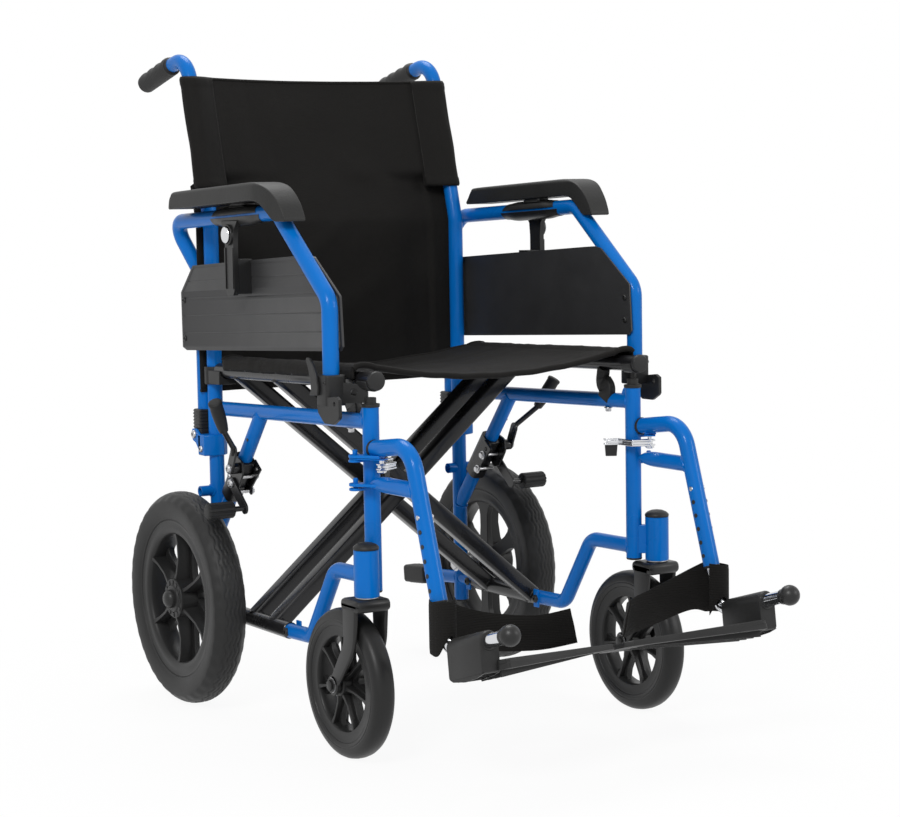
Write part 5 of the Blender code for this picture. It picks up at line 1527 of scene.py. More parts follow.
def back_row(up):
    """One row of the back's cloth from right to left, with a sewn edge beside each cane."""
    settings = shape_settings()
    below = 1.0 - smooth_step(up, BACK_SLEEVE_FOOT + 0.004, BACK_SLEEVE_FOOT + 0.024)
    cane = cane_at(up)
    half = PLANE - SLEEVE_SEAM + 0.002 + below * (SLEEVE_SEAM + 0.0140)
    rear = cane.y + 0.0100
    height = (up - BACK_FOOT) / (BACK_TOP - BACK_FOOT)
    slack = 1.0 - smooth_step(up, BACK_SLEEVE_FOOT - 0.10, BACK_SLEEVE_FOOT + 0.08)
    deep = settings.back_sag * (0.45 + 0.55 * height) - 0.007 - 0.006 * slack
    seam = 1.0 - (0.006 + 0.044 * below) / half
    row = []
    edge = [seam + 0.003 + (0.997 - seam) * step / 6 for step in range(7)]
    middle = [seam * (2.0 * step / 50 - 1.0) for step in range(51)]
    for share in [-place for place in reversed(edge)] + middle + edge:
        bulge = 1.0 - share * share
        sewn = abs(share) > seam + 0.001
        tuck = 0.0062 * below * smooth_step(abs(share), 0.50, 0.70) - 0.0012 * sewn
        crease = back_crease(share * half, up) * settings.wrinkle / 0.0024
        fold = settings.wrinkle * (ripple(share * 3.2, height * 5.0, 5.0) + 0.5 * ripple(share * 9.0, height * 3.0, 7.0))
        hang = 0.001 * bulge * smooth_step(up, 0.80, BACK_TOP)
        depth = deep * bulge + fold * (0.25 + bulge) + tuck - crease * bulge
        row.append(Vector((share * half, rear + depth, up - hang)))
    return row


def back_sheet():
    count = 84
    return grid([back_row(BACK_FOOT + (BACK_TOP - BACK_FOOT) * row / count) for row in range(count + 1)])


def back_hem(up):
    return tube(back_row(up), 0.0026, 12)


def back_sleeve():
    """The left sleeve round the cane, flattening to its stitched seam inboard."""
    sheet_rows = []
    rows = 46
    for row in range(rows + 1):
        share = row / rows
        up = BACK_SLEEVE_FOOT + (BACK_TOP + 0.002 - BACK_SLEEVE_FOOT) * share
        centre = cane_at(up)
        edge = min(share, 1.0 - share)
        hem = 0.0007 * (edge < 0.07) - 0.0016 * (row in (0, rows))
        row_points = []
        for out, rear in ((-0.0395, 0.0080), (-SLEEVE_SEAM, 0.0062), (-0.029, 0.0010), (-0.020, -0.0068)):
            wave = 0.0009 * ripple(out * 60.0, up * 30.0, 2.0)
            row_points.append(centre + Vector((out, rear - hem + wave, 0.0)))
        for step in range(29):
            angle = math.radians(-112.0 + 224.0 * step / 28)
            wave = 0.0011 * ripple(math.cos(angle) * 2.0, math.sin(angle) * 2.0 + 4.0, up * 24.0)
            reach = 0.0141 + hem + wave
            row_points.append(centre + Vector((math.cos(angle), math.sin(angle), 0.0)) * reach)
        for out, rear in ((-0.020, 0.0128), (-0.029, 0.0120), (-SLEEVE_SEAM, 0.0118), (-0.0395, 0.0116)):
            row_points.append(centre + Vector((out, rear + hem, 0.0)))
        sheet_rows.append(row_points)
    return grid(sheet_rows)


def sleeve_stitches():
    """Two rows of thread along the left sleeve's seam."""
    shapes = []
    for out in (-SLEEVE_SEAM + 0.0014, -SLEEVE_SEAM - 0.0022):
        for index in range(38):
            up = BACK_SLEEVE_FOOT + 0.006 + 0.0041 * index
            rear = 0.0052 if out > -SLEEVE_SEAM else 0.0066
            low = cane_at(up) + Vector((out, rear, 0.0))
            high = cane_at(up + 0.0026) + Vector((out, rear, 0.0))
            shapes.append(tube([low, high], 0.0005, 6))
    return merged(*shapes)


class WHEELCHAIR_OT_back(bpy.types.Operator):
    """Draws the back sling, its sleeves, hems and stitching"""

    bl_idname = "wheelchair.back"
    bl_label = "Back sling"

    def execute(self, context):
        panel = piece("back_cloth", back_sheet(), "black_cloth", "right_frame", ["back_sling"], 0.0, 60.0)
        thickened(panel, 0.0022)
        top = piece("back_hem_top", back_hem(BACK_TOP), "black_cloth", "right_frame", (), 0.0, 60.0)
        foot = piece("back_hem_foot", back_hem(BACK_FOOT), "black_cloth", "right_frame", (), 0.0, 60.0)
        anchor = tuple(cane_at(0.7) - OUT * 2 * PLANE)
        for made in (panel, top, foot):
            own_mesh(made)
        for sleeve in pair("back_sleeve", back_sleeve(), "black_cloth", "frame", None, 0.0, 60.0):
            thickened(sleeve, 0.0018)
        pair("back_stitches", sleeve_stitches(), "thread", "frame")
        return {"FINISHED"}


# Armrests


def arm_top(ahead):
    """Height of the armrest's upper tube, which rises towards the front."""
    return ARM_TOP + ARM_RISE * (ahead - ARM_MIDDLE)


def pad_foot(ahead):
    return arm_top(ahead) + TUBE + PAD_CLEAR


def armrest_path():
    corners = [
        spot(ARM_LEG_OUTBOARD, ARM_REAR_AHEAD, ARM_REAR_FOOT),
        spot(ARM_LEG_OUTBOARD, ARM_REAR_AHEAD, 0.625),
        spot(ARM_OUTBOARD, ARM_REAR_AHEAD - 0.026, arm_top(ARM_REAR_AHEAD - 0.026)),
        spot(ARM_OUTBOARD, 0.274, arm_top(0.274)),
        spot(ARM_OUTBOARD, ARM_FRONT_AHEAD, 0.602),
        spot(ARM_OUTBOARD, ARM_FRONT_AHEAD, ARM_SEAT_UP),
    ]
    return rounded(corners, [0.03, 0.025, 0.03, 0.03], 10)


def pad_ring(ahead, low, top, wide):
    """One upright section of the pad: flat sides, a softly rounded top and crisper edges at the nose."""
    half = wide / 2
    nose = smooth_step(ahead, PAD_NOSE, PAD_NOSE + 0.03)
    corner = min(0.0060 - 0.0040 * nose, 0.45 * (top - low))
    outline = [(-half + 0.0012, low), (-half, low + 0.0012)]
    for way in (-1, 1):
        arc = []
        for step in range(7):
            angle = math.pi / 2 * step / 6
            out = half - corner * (1.0 - math.cos(angle))
            arc.append((way * out, top - corner * (1.0 - math.sin(angle))))
        outline += arc if way < 0 else reversed(arc)
    outline += [(half, low + 0.0012), (half - 0.0012, low)]
    return [spot(PAD_INNER + half + out, ahead, up) for out, up in outline]


def armrest_pad():
    """A long skinned pad with a slanted rear end and a narrower nose that turns down in front."""
    stations = [
        (-0.0048, 0.0010, 0.0040, 0.0425),
        (-0.0035, 0.0002, 0.0075, 0.0440),
        (0.0030, 0.0, 0.0175, 0.0460),
        (0.0080, 0.0, 0.0226, 0.0460),
        (0.0140, 0.0, 0.0246, 0.0460),
        (0.0600, 0.0, 0.0249, 0.0460),
        (0.1300, 0.0, 0.0249, 0.0460),
        (0.2000, 0.0, 0.0249, 0.0460),
        (PAD_NOSE, 0.0, 0.0246, 0.0458),
        (0.2763, -0.0040, 0.0220, 0.0434),
        (0.2921, -0.0160, 0.0165, 0.0402),
        (0.3050, -0.0272, 0.0078, 0.0368),
        (0.3180, -0.0285, -0.0050, 0.0338),
        (0.3270, -0.0286, -0.0195, 0.0318),
        (0.3292, -0.0280, -0.0250, 0.0310),
    ]
    fine = eased([Vector(station) for station in stations], 5)
    rings = []
    for ahead, low, top, wide in fine:
        base = pad_foot(min(ahead, PAD_NOSE))
        rings.append(pad_ring(ahead, base + low, base + top, wide))
    return loft(rings)


PANEL_OUTLINE = (
    (-0.020, 0.640),
    (-0.062, 0.600),
    (-0.061, 0.519),
    (-0.047, 0.5145),
    (0.4175, 0.5353),
    (0.424, 0.5415),
    (0.4195, 0.607),
    (0.352, 0.657),
    (0.335, 0.6595),
)
PANEL_SLOPE = 0.045


def panel_span(level):
    """The panel's rear and front ends along a line that slopes with its lower edge."""
    crossings = []
    for (ahead, up), (next_ahead, next_up) in zip(PANEL_OUTLINE, PANEL_OUTLINE[1:] + PANEL_OUTLINE[:1]):
        here = up - PANEL_SLOPE * ahead - level
        there = next_up - PANEL_SLOPE * next_ahead - level
        if here * there <= 0.0 and here != there:
            crossings.append(ahead + (next_ahead - ahead) * here / (here - there))
    return min(crossings), max(crossings)


def panel_skin(shrink):
    """The panel's outboard step at each level: a raised border and shallow lengthwise grooves."""
    levels = [up - PANEL_SLOPE * ahead for ahead, up in PANEL_OUTLINE]
    low = min(levels) + 0.0002
    high = max(levels) - 0.0002
    rows = []
    count = 110
    for row in range(count + 1):
        level = low + (high - low) * row / count
        share = row / count
        groove = 0.0
        for line in (0.20, 0.40, 0.60, 0.80):
            groove = max(groove, 1.0 - abs(share - line) / 0.014)
        border = smooth_step(min(share, 1.0 - share), 0.030, 0.055)
        rear, front = panel_span(level)
        rows.append((level, rear, front, 0.0011 * border + 0.0010 * max(0.0, groove) * border))
    return rows


def side_panel():
    outer = ARM_OUTBOARD - TUBE - 0.0004
    inner = outer - 0.003
    rings = []
    for level, rear, front, step in panel_skin(0.0):
        ring = []
        lip = min(0.006, 0.3 * (front - rear))
        for ahead, deep in (
            (rear, 0.0008),
            (rear + 0.0008, 0.0),
            (rear + lip, 0.0),
            (rear + 1.4 * lip, step),
            (front - 1.4 * lip, step),
            (front - lip, 0.0),
            (front - 0.0008, 0.0),
            (front, 0.0008),
        ):
            ring.append(spot(outer - deep, ahead, level + PANEL_SLOPE * ahead))
        ring.append(spot(inner, front, level + PANEL_SLOPE * front))
        ring.append(spot(inner, rear, level + PANEL_SLOPE * rear))
        rings.append(ring)
    return loft(rings)


def clamp_shell(way, rear, front, thick, slant):
    """Half of the clamp round the arm tube: its upper half for a way of 1 and its lower half for -1."""
    rings = []
    rows = 20
    for row in range(rows + 1):
        share = row / rows
        full = smooth_step(min(share, 1.0 - share), 0.0, 0.22)
        outer = TUBE + 0.0009 + thick * full
        ring = []
        for radius, steps in ((outer, range(15)), (TUBE + 0.0003, range(14, -1, -1))):
            for step in steps:
                angle = math.radians(7.0 + 166.0 * step / 14)
                lean = slant * math.sin(angle) * (1.0 - 2.0 * share)
                ahead = rear + (front - rear) * share + lean
                up = arm_top(ahead) + way * radius * math.sin(angle)
                ring.append(spot(ARM_OUTBOARD + radius * math.cos(angle), ahead, up))
        rings.append(ring)
    return loft(rings)


def pad_seat():
    """The boss on the clamp that carries the pad."""
    rings = []
    for lift, grow in ((0.0, 0.004), (0.45, 0.0), (1.0, 0.0)):
        ring = []
        for x, y in soft_box(0.0100 + 0.3 * grow, 0.0210 + grow, 0.004):
            ahead = 0.170 + y
            foot = arm_top(ahead) + TUBE + 0.0004
            ring.append(spot(ARM_OUTBOARD + x, ahead, foot + (pad_foot(ahead) - 0.0002 - foot) * lift))
        rings.append(ring)
    return loft(rings)


def panel_bracket():
    """The bracket: a clamp in two halves round the tube, the pad's boss, a stepped stem and the button's boss."""
    face = ARM_OUTBOARD + TUBE + 0.0004
    low = arm_top(STEM_AHEAD) - TUBE
    stem = [
        (STEM_AHEAD - 0.024, low + 0.0040),
        (STEM_AHEAD - 0.0150, low - 0.008),
        (STEM_AHEAD - 0.0130, 0.674),
        (STEM_AHEAD - 0.0130, 0.609),
        (STEM_AHEAD - 0.0090, 0.602),
        (STEM_AHEAD + 0.0095, 0.602),
        (STEM_AHEAD + 0.0135, 0.609),
        (STEM_AHEAD + 0.0135, 0.674),
        (STEM_AHEAD + 0.0155, low - 0.008),
        (STEM_AHEAD + 0.026, low + 0.0045),
    ]
    shapes = [
        clamp_shell(1, 0.094, 0.232, 0.0022, 0.0075),
        clamp_shell(-1, 0.090, 0.2415, 0.0030, 0.0060),
        pad_seat(),
        side_plate(stem, face - 0.004, 0.0074),
    ]
    bridge = [
        spot(ARM_OUTBOARD - TUBE - 0.003, STEM_AHEAD - 0.0120, 0.604),
        spot(ARM_OUTBOARD - TUBE - 0.003, STEM_AHEAD + 0.0125, 0.604),
        spot(face, STEM_AHEAD + 0.0125, 0.604),
        spot(face, STEM_AHEAD - 0.0120, 0.604),
    ]
    shapes.append(slab(bridge, UP * 0.048))
    for ahead in (STEM_AHEAD - 0.0110, STEM_AHEAD + 0.0115):
        rib = [(ahead - 0.0015, 0.611), (ahead + 0.0015, 0.611), (ahead + 0.0015, 0.668), (ahead - 0.0015, 0.668)]
        shapes.append(side_plate(rib, face + 0.0034, 0.0016))
    collar = [(0.0122, 0.0), (0.0146, 0.0), (0.0146, 0.0042), (0.0138, 0.0052), (0.0122, 0.0052)]
    shapes.append(turned(spot(face + 0.002, STEM_AHEAD, BUTTON_UP), OUT, collar, 40))
    return merged(*shapes)


def panel_screws():
    outer = ARM_OUTBOARD - TUBE - 0.0012
    shapes = []
    for up in (0.588, 0.532):
        shapes.append(cap_screw(spot(outer, -0.052, up), OUT, 0.0042, 0.0026))
    for up in (0.588, 0.556):
        shapes.append(cap_screw(spot(outer - 0.0026, 0.410, up), -OUT, 0.0040, 0.0024))
    return merged(*shapes)


def armrest_button():
    face = ARM_OUTBOARD + TUBE + 0.0004 + 0.0034
    place = spot(face, STEM_AHEAD, BUTTON_UP)
    profile = [(-0.001, 0.006), (0.0034, 0.006), (0.0034, 0.0112), (0.0056, 0.0115), (0.0066, 0.0108), (0.0069, 0.0090)]
    return spun(place, OUT, profile, 40)


def rear_socket():
    """The ribbed sleeve on the armrest's rear leg, with its foot round about the pin."""
    path = []
    outlines = []
    rows = 40
    low = ARM_PIVOT_UP - 0.0124
    high = ARM_PIVOT_UP + 0.037
    for row in range(rows + 1):
        share = row / rows
        up = low + (high - low) * share
        edge = high - up
        shrink = 0.0018 * (1.0 - min(1.0, edge / 0.002))
        rib = 0.0008 * (row % 4 < 2) * (0.36 < share < 0.94)
        below = min(0.0124, max(0.0, ARM_PIVOT_UP - up))
        half = math.sqrt(max(0.0016**2, 0.0125**2 - below**2))
        path.append(spot(ARM_LEG_OUTBOARD, ARM_REAR_AHEAD, up))
        outlines.append(soft_box(0.0154 - shrink - rib, half - shrink - rib, min(0.0034, 0.45 * half)))
    return swept(path, outlines)


class WHEELCHAIR_OT_armrests(bpy.types.Operator):
    """Draws the armrests with their pads, side panels, brackets and buttons"""

    bl_idname = "wheelchair.armrests"
    bl_label = "Armrests"

    def execute(self, context):
        pair("armrest_tube", tube(armrest_path(), TUBE), "blue_paint", "armrest", "armrest_frame")
        for pad in pair("armrest_cushion", armrest_pad(), "pad_vinyl", "armrest", "armrest_pad", 0.0, 40.0):
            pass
        pair("skirt_panel", side_panel(), "panel_plastic", "armrest", "side_panel", 0.0, 30.0)
        pair("skirt_bracket", panel_bracket(), "black_gloss", "armrest", None, 0.0009)
        pair("skirt_screws", panel_screws(), "black_gloss", "armrest")
        pair("release_button", armrest_button(), "chrome", "armrest_button", "armrest_button")
        pair("armrest_sleeve", rear_socket(), "black_plastic", "armrest", "rear_socket", 0.0, 30.0)
        return {"FINISHED"}


# Sockets


def front_socket():
    """The rail's cradle on the post, the collar of the armrest's front leg and a holed web between them."""
    foot = POST_TOP + 0.0004
    post = spot(PLANE, POST_AHEAD, foot)
    shapes = [
        spun(post, UP, [(-0.003, 0.0122), (0.0, 0.0124), (0.0014, 0.0124), (0.0020, 0.0078), (0.0095, 0.0078)], 40),
    ]
    cradle = []
    for step in range(17):
        angle = math.pi * (1.0 + step / 16)
        cradle.append(Vector((PLANE + 0.0136 * math.cos(angle), rail_up(POST_AHEAD) + 0.0136 * math.sin(angle))))
    for step in range(17):
        angle = math.pi * (2.0 - step / 16)
        cradle.append(Vector((PLANE + 0.0114 * math.cos(angle), rail_up(POST_AHEAD) + 0.0114 * math.sin(angle))))
    shapes.append(slab([spot(place.x, 0.441, place.y) for place in cradle], AHEAD * 0.024))
    shapes.append(front_collar())
    start = spot(ARM_OUTBOARD, ARM_FRONT_AHEAD, 0.0)
    run = (spot(PLANE, POST_AHEAD, 0.0) - start).normalized()
    thick = run.cross(UP) * 0.006

    def on_web(along, up):
        return start + run * along + UP * up - thick / 2

    web = [(0.008, 0.468), (0.050, 0.4695), (0.050, 0.4925), (0.008, 0.4965)]
    shapes.append(ringed_plate(web, (0.0318, 0.4830), 0.0046, on_web, thick))
    return merged(*shapes)


def front_collar():
    """The squarish sleeve that takes the armrest's front leg, open on top."""
    rings = []
    for up, shrink in ((0.4655, 0.0006), (0.4665, 0.0), (0.5040, 0.0), (0.5055, 0.0012)):
        outline = soft_box(0.0152 - shrink, 0.0152 - shrink, 0.0052)
        rings.append([spot(ARM_OUTBOARD + x, ARM_FRONT_AHEAD + y, up) for x, y in outline])
    for up in (0.5055, ARM_SEAT_UP - 0.0006):
        ring = []
        for x, y in soft_box(0.0152, 0.0152, 0.0052):
            bore = 0.0114 / math.hypot(x, y)
            ring.append(spot(ARM_OUTBOARD + bore * x, ARM_FRONT_AHEAD + bore * y, up))
        rings.append(ring)
    return loft(rings)


def facing_outboard(outboard):
    """Turns (ahead, up) places into points of a plane that faces outboard."""

    def place(ahead, up):
        return spot(outboard, ahead, up)

    return place


def ringed_plate(outline, hole, radius, place, offset):
    """A plate with a round hole: flat coordinates, a function that places them and the thickness."""
    count = 40
    middle = Vector(hole)
    rings = [[], [], [], []]
    for x, y in circle(1.0, count):
        way = Vector((x, y))
        reach = None
        for start, end in zip(outline, outline[1:] + outline[:1]):
            first = Vector(start) - middle
            edge = Vector(end) - Vector(start)
            across = way.x * edge.y - way.y * edge.x
            if abs(across) < 1e-12:
                continue
            away = (first.x * edge.y - first.y * edge.x) / across
            along = (first.x * way.y - first.y * way.x) / across
            if away > 0 and -1e-9 <= along <= 1.0 + 1e-9:
                reach = away
        far = middle + way * reach
        near = middle + way * radius
        rings[0].append(place(*near))
        rings[1].append(place(*far))
        rings[2].append(place(*far) + offset)
        rings[3].append(place(*near) + offset)
    return loft(rings, closed=True)


def socket_shield():
    """The wide five-sided plate under the collar, with its see-through hole."""
    outline = [
        (0.3975, 0.4745),
        (0.3990, 0.4570),
        (0.4160, 0.4430),
        (0.4400, 0.4430),
        (0.4560, 0.4520),
        (0.4560, 0.4760),
        (0.4480, 0.4800),
    ]
    place = facing_outboard(ARM_OUTBOARD + 0.0090)
    return ringed_plate(outline, (0.4440, 0.4700), 0.0028, place, OUT * 0.005)


def socket_claw():
    """The curved strut from the side tube up to the seat rail, inboard of the post."""
    corners = [
        spot(PLANE - 0.006, 0.396, side_tube_up(0.396) + 0.002),
        spot(PLANE - 0.006, 0.403, 0.4585),
        spot(PLANE - 0.006, 0.390, 0.4720),
        spot(PLANE - 0.006, 0.393, rail_up(0.393) - 0.0095),
    ]
    path = rounded(corners, 0.010, 8)
    outlines = []
    for index in range(len(path)):
        outlines.append(soft_box(0.0055, 0.0115 + 0.0025 * math.sin(5.0 * index / len(path)), 0.0018))
    return swept(path, outlines)


def socket_lever():
    """The horn-shaped release blade outboard of the collar: slim above and broad at its pivot."""
    start = ARM_OUTBOARD + 0.0154
    rear = [(0.3870, 0.4780), (0.3915, 0.4860), (0.3900, 0.4980), (0.3860, 0.5110), (0.3790, 0.5240)]
    front = [(0.3815, 0.5275), (0.3890, 0.5265), (0.3975, 0.5190), (0.4050, 0.5060), (0.4105, 0.4900), (0.4090, 0.4790)]
    return side_plate(rear + front, start, 0.004)


def seat_saddle():
    """The clip on the cane that the rail's rear end rests in."""
    cane = cane_at(0.48)
    ring = [(0.0114, -0.013), (0.0146, -0.013), (0.0150, -0.011), (0.0150, 0.011), (0.0146, 0.013), (0.0114, 0.013)]
    shapes = [turned(Vector((cane.x, cane.y, 0.479)), UP, ring, 40)]
    middle = rail_up(0.03)
    trough = []
    for out, up in ((-0.0138, 0.0), (-0.0138, -0.0196), (0.0138, -0.0196), (0.0138, 0.0)):
        trough.append((PLANE + out, middle + up))
    for step in range(17):
        angle = -math.pi * step / 16
        trough.append((PLANE + 0.0114 * math.cos(angle), middle + 0.0114 * math.sin(angle)))
    shapes.append(slab([spot(out, 0.004, up) for out, up in trough], AHEAD * 0.036))
    return merged(*shapes)


class WHEELCHAIR_OT_sockets(bpy.types.Operator):
    """Draws the front sockets with their shields and levers, and the rear saddles"""

    bl_idname = "wheelchair.sockets"
    bl_label = "Sockets"

    def execute(self, context):
        pair("socket_collar", front_socket(), "black_plastic", "frame", "front_socket", 0.0007)
        pair("socket_shield", socket_shield(), "black_plastic", "frame", None, 0.0006)
        pair("socket_claw", socket_claw(), "black_plastic", "frame")
        collar_screw = cap_screw(spot(ARM_OUTBOARD + 0.0148, ARM_FRONT_AHEAD + 0.009, 0.4960), OUT, 0.0030, 0.0020)
        pair("collar_screw", collar_screw, "black_gloss", "frame")
        tube_screw = hex_bolt(spot(PLANE - 0.002, 0.398, side_tube_up(0.398) - JOINED_TUBE), -UP, 0.0046, 0.0060)
        pair("socket_screws", tube_screw, "zinc", "frame")
        pair("socket_blade", socket_lever(), "black_plastic", "socket_lever", "socket_lever", 0.0010)
        pair("rail_saddle", seat_saddle(), "black_plastic", "frame", "seat_saddle", 0.0007)
        return {"FINISHED"}


# Legrests


def hanger_path():
    corners = [
        spot(LEG_OUTBOARD, POST_AHEAD + TUBE + 0.0015, HANGER_UP),
        spot(LEG_OUTBOARD, *HANGER_KNEE),
        spot(LEG_OUTBOARD, *HANGER_FOOT),
    ]
    return rounded(corners, HANGER_BEND, 14)


def hanger_tubes():
    path = hanger_path()
    shapes = [tube(path, TUBE)]
    below = Vector(HANGER_KNEE) + HANGER_RUN * 0.058
    start = spot(LEG_OUTBOARD, POST_AHEAD + TUBE + 0.0060, LOWER_PLATE + 0.0035)
    end = spot(LEG_OUTBOARD, *below)
    lower = []
    outlines = []
    for share in (0.0, 0.02, 0.06, 0.10, 0.15, 0.20, 0.26, 0.32, 0.6, 1.0):
        lower.append(start.lerp(end, share))
        full = math.sqrt(1.0 - (1.0 - min(1.0, share / 0.30)) ** 2)
        wide = 0.0088 + (JOINED_TUBE - 0.0088) * full
        tall = 0.0034 + (JOINED_TUBE - 0.0034) * full
        sides = shape_settings().tube_sides
        outlines.append([(x * wide, y * tall) for x, y in circle(1.0, sides)])
    shapes.append(swept(lower, outlines))
    knee = spot(LEG_OUTBOARD, *HANGER_KNEE)
    foot = spot(LEG_OUTBOARD, *HANGER_FOOT)
    shapes.append(weld(start, end, JOINED_TUBE, knee, foot - knee, TUBE))
    return merged(*shapes)


def hanger_plates():
    shapes = []
    end = (LEG_OUTBOARD, POST_AHEAD + TUBE + 0.0235)
    for up in (UPPER_PLATE, LOWER_PLATE):
        shapes.append(tab((PIN_OUTBOARD, LEG_PIN_AHEAD), 0.0085, end, 0.0080, up, 0.0040))
    return merged(*shapes)


def hanger_hole(index):
    """The centre of an adjusting hole, counted upwards from the hanger's foot."""
    place = Vector(HANGER_FOOT) - HANGER_RUN * (0.0150 + 0.0184 * index)
    return spot(LEG_OUTBOARD, place.x, place.y)


def hanger_holes():
    """Black discs on the open adjusting holes, painted shade for their dark insides; a ring at the foot's dark mouth
    and the ring at the post.
    """
    shapes = []
    # Black discs just proud of both faces of the tube at each open hole below the pin: painted shade for the holes'
    # dark insides.
    for index in range(shape_settings().hanger_holes - 1):
        for way in (-1, 1):
            start = hanger_hole(index) + OUT * way * (TUBE - 0.0012)
            shapes.append(spun(start, OUT * way, [(0.0, 0.0030), (0.0014, 0.0030)], 20))
    foot = spot(LEG_OUTBOARD, *HANGER_FOOT)
    run = spot(0.0, HANGER_RUN.x, HANGER_RUN.y) - spot(0.0, 0.0, 0.0)
    gasket = [(0.0089, -0.002), (0.0108, -0.002), (0.0112, 0.0), (0.0106, 0.0022), (0.0089, 0.0022)]
    shapes.append(turned(foot, run, gasket, 40))
    start = spot(LEG_OUTBOARD, POST_AHEAD + TUBE + 0.0020, HANGER_UP)
    seal = [(0.0060, -0.0005), (0.0112, -0.0005), (0.0122, 0.0010), (0.0118, 0.0045), (0.0110, 0.0050)]
    shapes.append(turned(start, AHEAD, seal, 40))
    return merged(*shapes)


def legrest_bush():
    """The thin plate between the frame's upper tab and the hanger's, which carries the latch."""
    foot = UPPER_TAB_UP + TAB_THICK + 0.0004
    end = (LEG_OUTBOARD - 0.0034, LATCH_AHEAD + 0.0049)
    return tab((PIN_OUTBOARD, LEG_PIN_AHEAD), 0.0075, end, 0.0075, foot, 0.0016)


def latch_pin():
    """The latch's pivot pin with its head below."""
    place = spot(LEG_OUTBOARD, LATCH_AHEAD, UPPER_TAB_UP + TAB_THICK)
    return spun(place, -UP, [(0.0, 0.003), (0.0134, 0.003), (0.0134, 0.0062), (0.0154, 0.0062), (0.0164, 0.0048)], 24)


def hanger_pin():
    centre = hanger_hole(shape_settings().hanger_holes - 1)
    shapes = []
    for way in (-1, 1):
        profile = [(TUBE - 0.002, 0.0031), (TUBE + 0.0003, 0.0031), (TUBE + 0.0009, 0.0020)]
        shapes.append(spun(centre, OUT * way, profile, 20))
    return merged(*shapes)


def legrest_latch():
    """The chrome channel of the latch: two bright flanges and the web between them."""
    outline = (
        (LEG_OUTBOARD + 0.006, LATCH_AHEAD - 0.004),
        (LEG_OUTBOARD + 0.006, LATCH_AHEAD + 0.005),
        (LEG_OUTBOARD - 0.004, LATCH_AHEAD + 0.007),
        (PLANE - 0.022, LATCH_AHEAD - 0.006),
        (PLANE - 0.024, POST_AHEAD - 0.004),
        (PLANE - 0.040, POST_AHEAD - 0.012),
        (PLANE - 0.038, POST_AHEAD - 0.019),
        (PLANE - 0.016, POST_AHEAD - 0.010),
        (PLANE - 0.015, LATCH_AHEAD - 0.013),
    )
    middle = Vector((PLANE - 0.018, LATCH_AHEAD - 0.018))
    shapes = []
    for low, high, share in ((0.0, 0.0026, 1.0), (0.0024, 0.0066, 0.90), (0.0064, 0.0090, 1.0)):
        ring = []
        for out, ahead in outline:
            place = middle + (Vector((out, ahead)) - middle) * share
            ring.append(spot(place.x, place.y, LATCH_UP + low))
        shapes.append(slab(ring, UP * (high - low)))
    return merged(*shapes)


def latch_tab():
    """The hanging black finger tab of the latch."""
    top = LATCH_UP + 0.001
    outline = [
        spot(PLANE - 0.0375, POST_AHEAD - 0.016, top),
        spot(PLANE - 0.0225, POST_AHEAD - 0.006, top),
        spot(PLANE - 0.0235, POST_AHEAD - 0.007, top - 0.017),
        spot(PLANE - 0.0365, POST_AHEAD - 0.0155, top - 0.017),
    ]
    return slab(outline, Vector((0.0022, 0.0034, 0.0)))


class WHEELCHAIR_OT_legrests(bpy.types.Operator):
    """Draws the legrest hangers with their pivots and latches"""

    bl_idname = "wheelchair.legrests"
    bl_label = "Legrests"

    def execute(self, context):
        pair("hanger_tube", hanger_tubes(), "blue_paint", "legrest", "legrest_hanger")
        pair("hanger_plates", hanger_plates(), "blue_paint", "legrest", None, 0.0008)
        pair("hanger_holes", hanger_holes(), "black_plastic", "legrest")
        pair("hanger_pin", hanger_pin(), "zinc", "legrest")
        pair("latch_carrier", legrest_bush(), "blue_paint", "legrest_bush", "legrest_bush", 0.0004)
        pair("latch_pin", latch_pin(), "chrome", "legrest_bush")
        pair("latch_bar", legrest_latch(), "chrome", "legrest_latch", "legrest_latch", 0.0006)
        pair("latch_tab", latch_tab(), "black_plastic", "legrest_latch", None, 0.0008)
        return {"FINISHED"}


# Footrests


def footrest_tube():
    foot = Vector(HANGER_FOOT) - HANGER_RUN * 0.085
    end = FOOT_AT + FOOT_RUN * (FOOT_REACH - 0.004)
    corners = [spot(LEG_OUTBOARD, *foot), spot(LEG_OUTBOARD, *FOOT_AT), spot(LEG_OUTBOARD, *end)]
    return tube(rounded(corners, 0.022, 14), FOOT_TUBE)


def footplate_block():
    """The hinge block round the chrome tube, round on top."""
    outline = []
    for step in range(13):
        angle = math.pi * step / 12
        outline.append((0.0132 * math.cos(angle), -0.0005 + 0.0135 * math.sin(angle)))
    outline += [(-0.0132, -0.036), (-0.0120, -0.038), (0.0120, -0.038), (0.0132, -0.036)]
    rings = []
    for along, shrink in ((0.0170, 0.92), (0.0182, 0.97), (0.0200, 1.0), (0.0945, 1.0), (0.0962, 0.97), (0.0975, 0.93)):
        ring = []
        for x, y in outline:
            lean = 0.15 * (y + 0.0125)
            ring.append(foot_spot(LEG_OUTBOARD + x * shrink, along + lean, -0.012 + (y + 0.012) * shrink))
        rings.append(ring)
    return loft(rings)


def footplate_keel():
    """Ribs across the hollow underside of the block."""
    shapes = []
    for index in range(6):
        along = 0.020 + 0.0115 * index
        foot = -0.0400 - 0.0030 * math.sin(math.pi * index / 5)
        ring = [(-0.0118, along), (0.0118, along), (0.0118, along + 0.0022), (-0.0118, along + 0.0022)]
        shapes.append(slab([foot_spot(LEG_OUTBOARD + x, y, -0.0375) for x, y in ring], keel_drop(-0.0375 - foot)))
    for out in (-0.0125, 0.0103):
        edge = [(0.016, -0.0375), (0.022, -0.0405), (0.050, -0.0432), (0.078, -0.0410), (0.094, -0.0375)]
        shapes.append(slab([foot_spot(LEG_OUTBOARD + out, *place) for place in edge], OUT * 0.0022))
    return merged(*shapes)


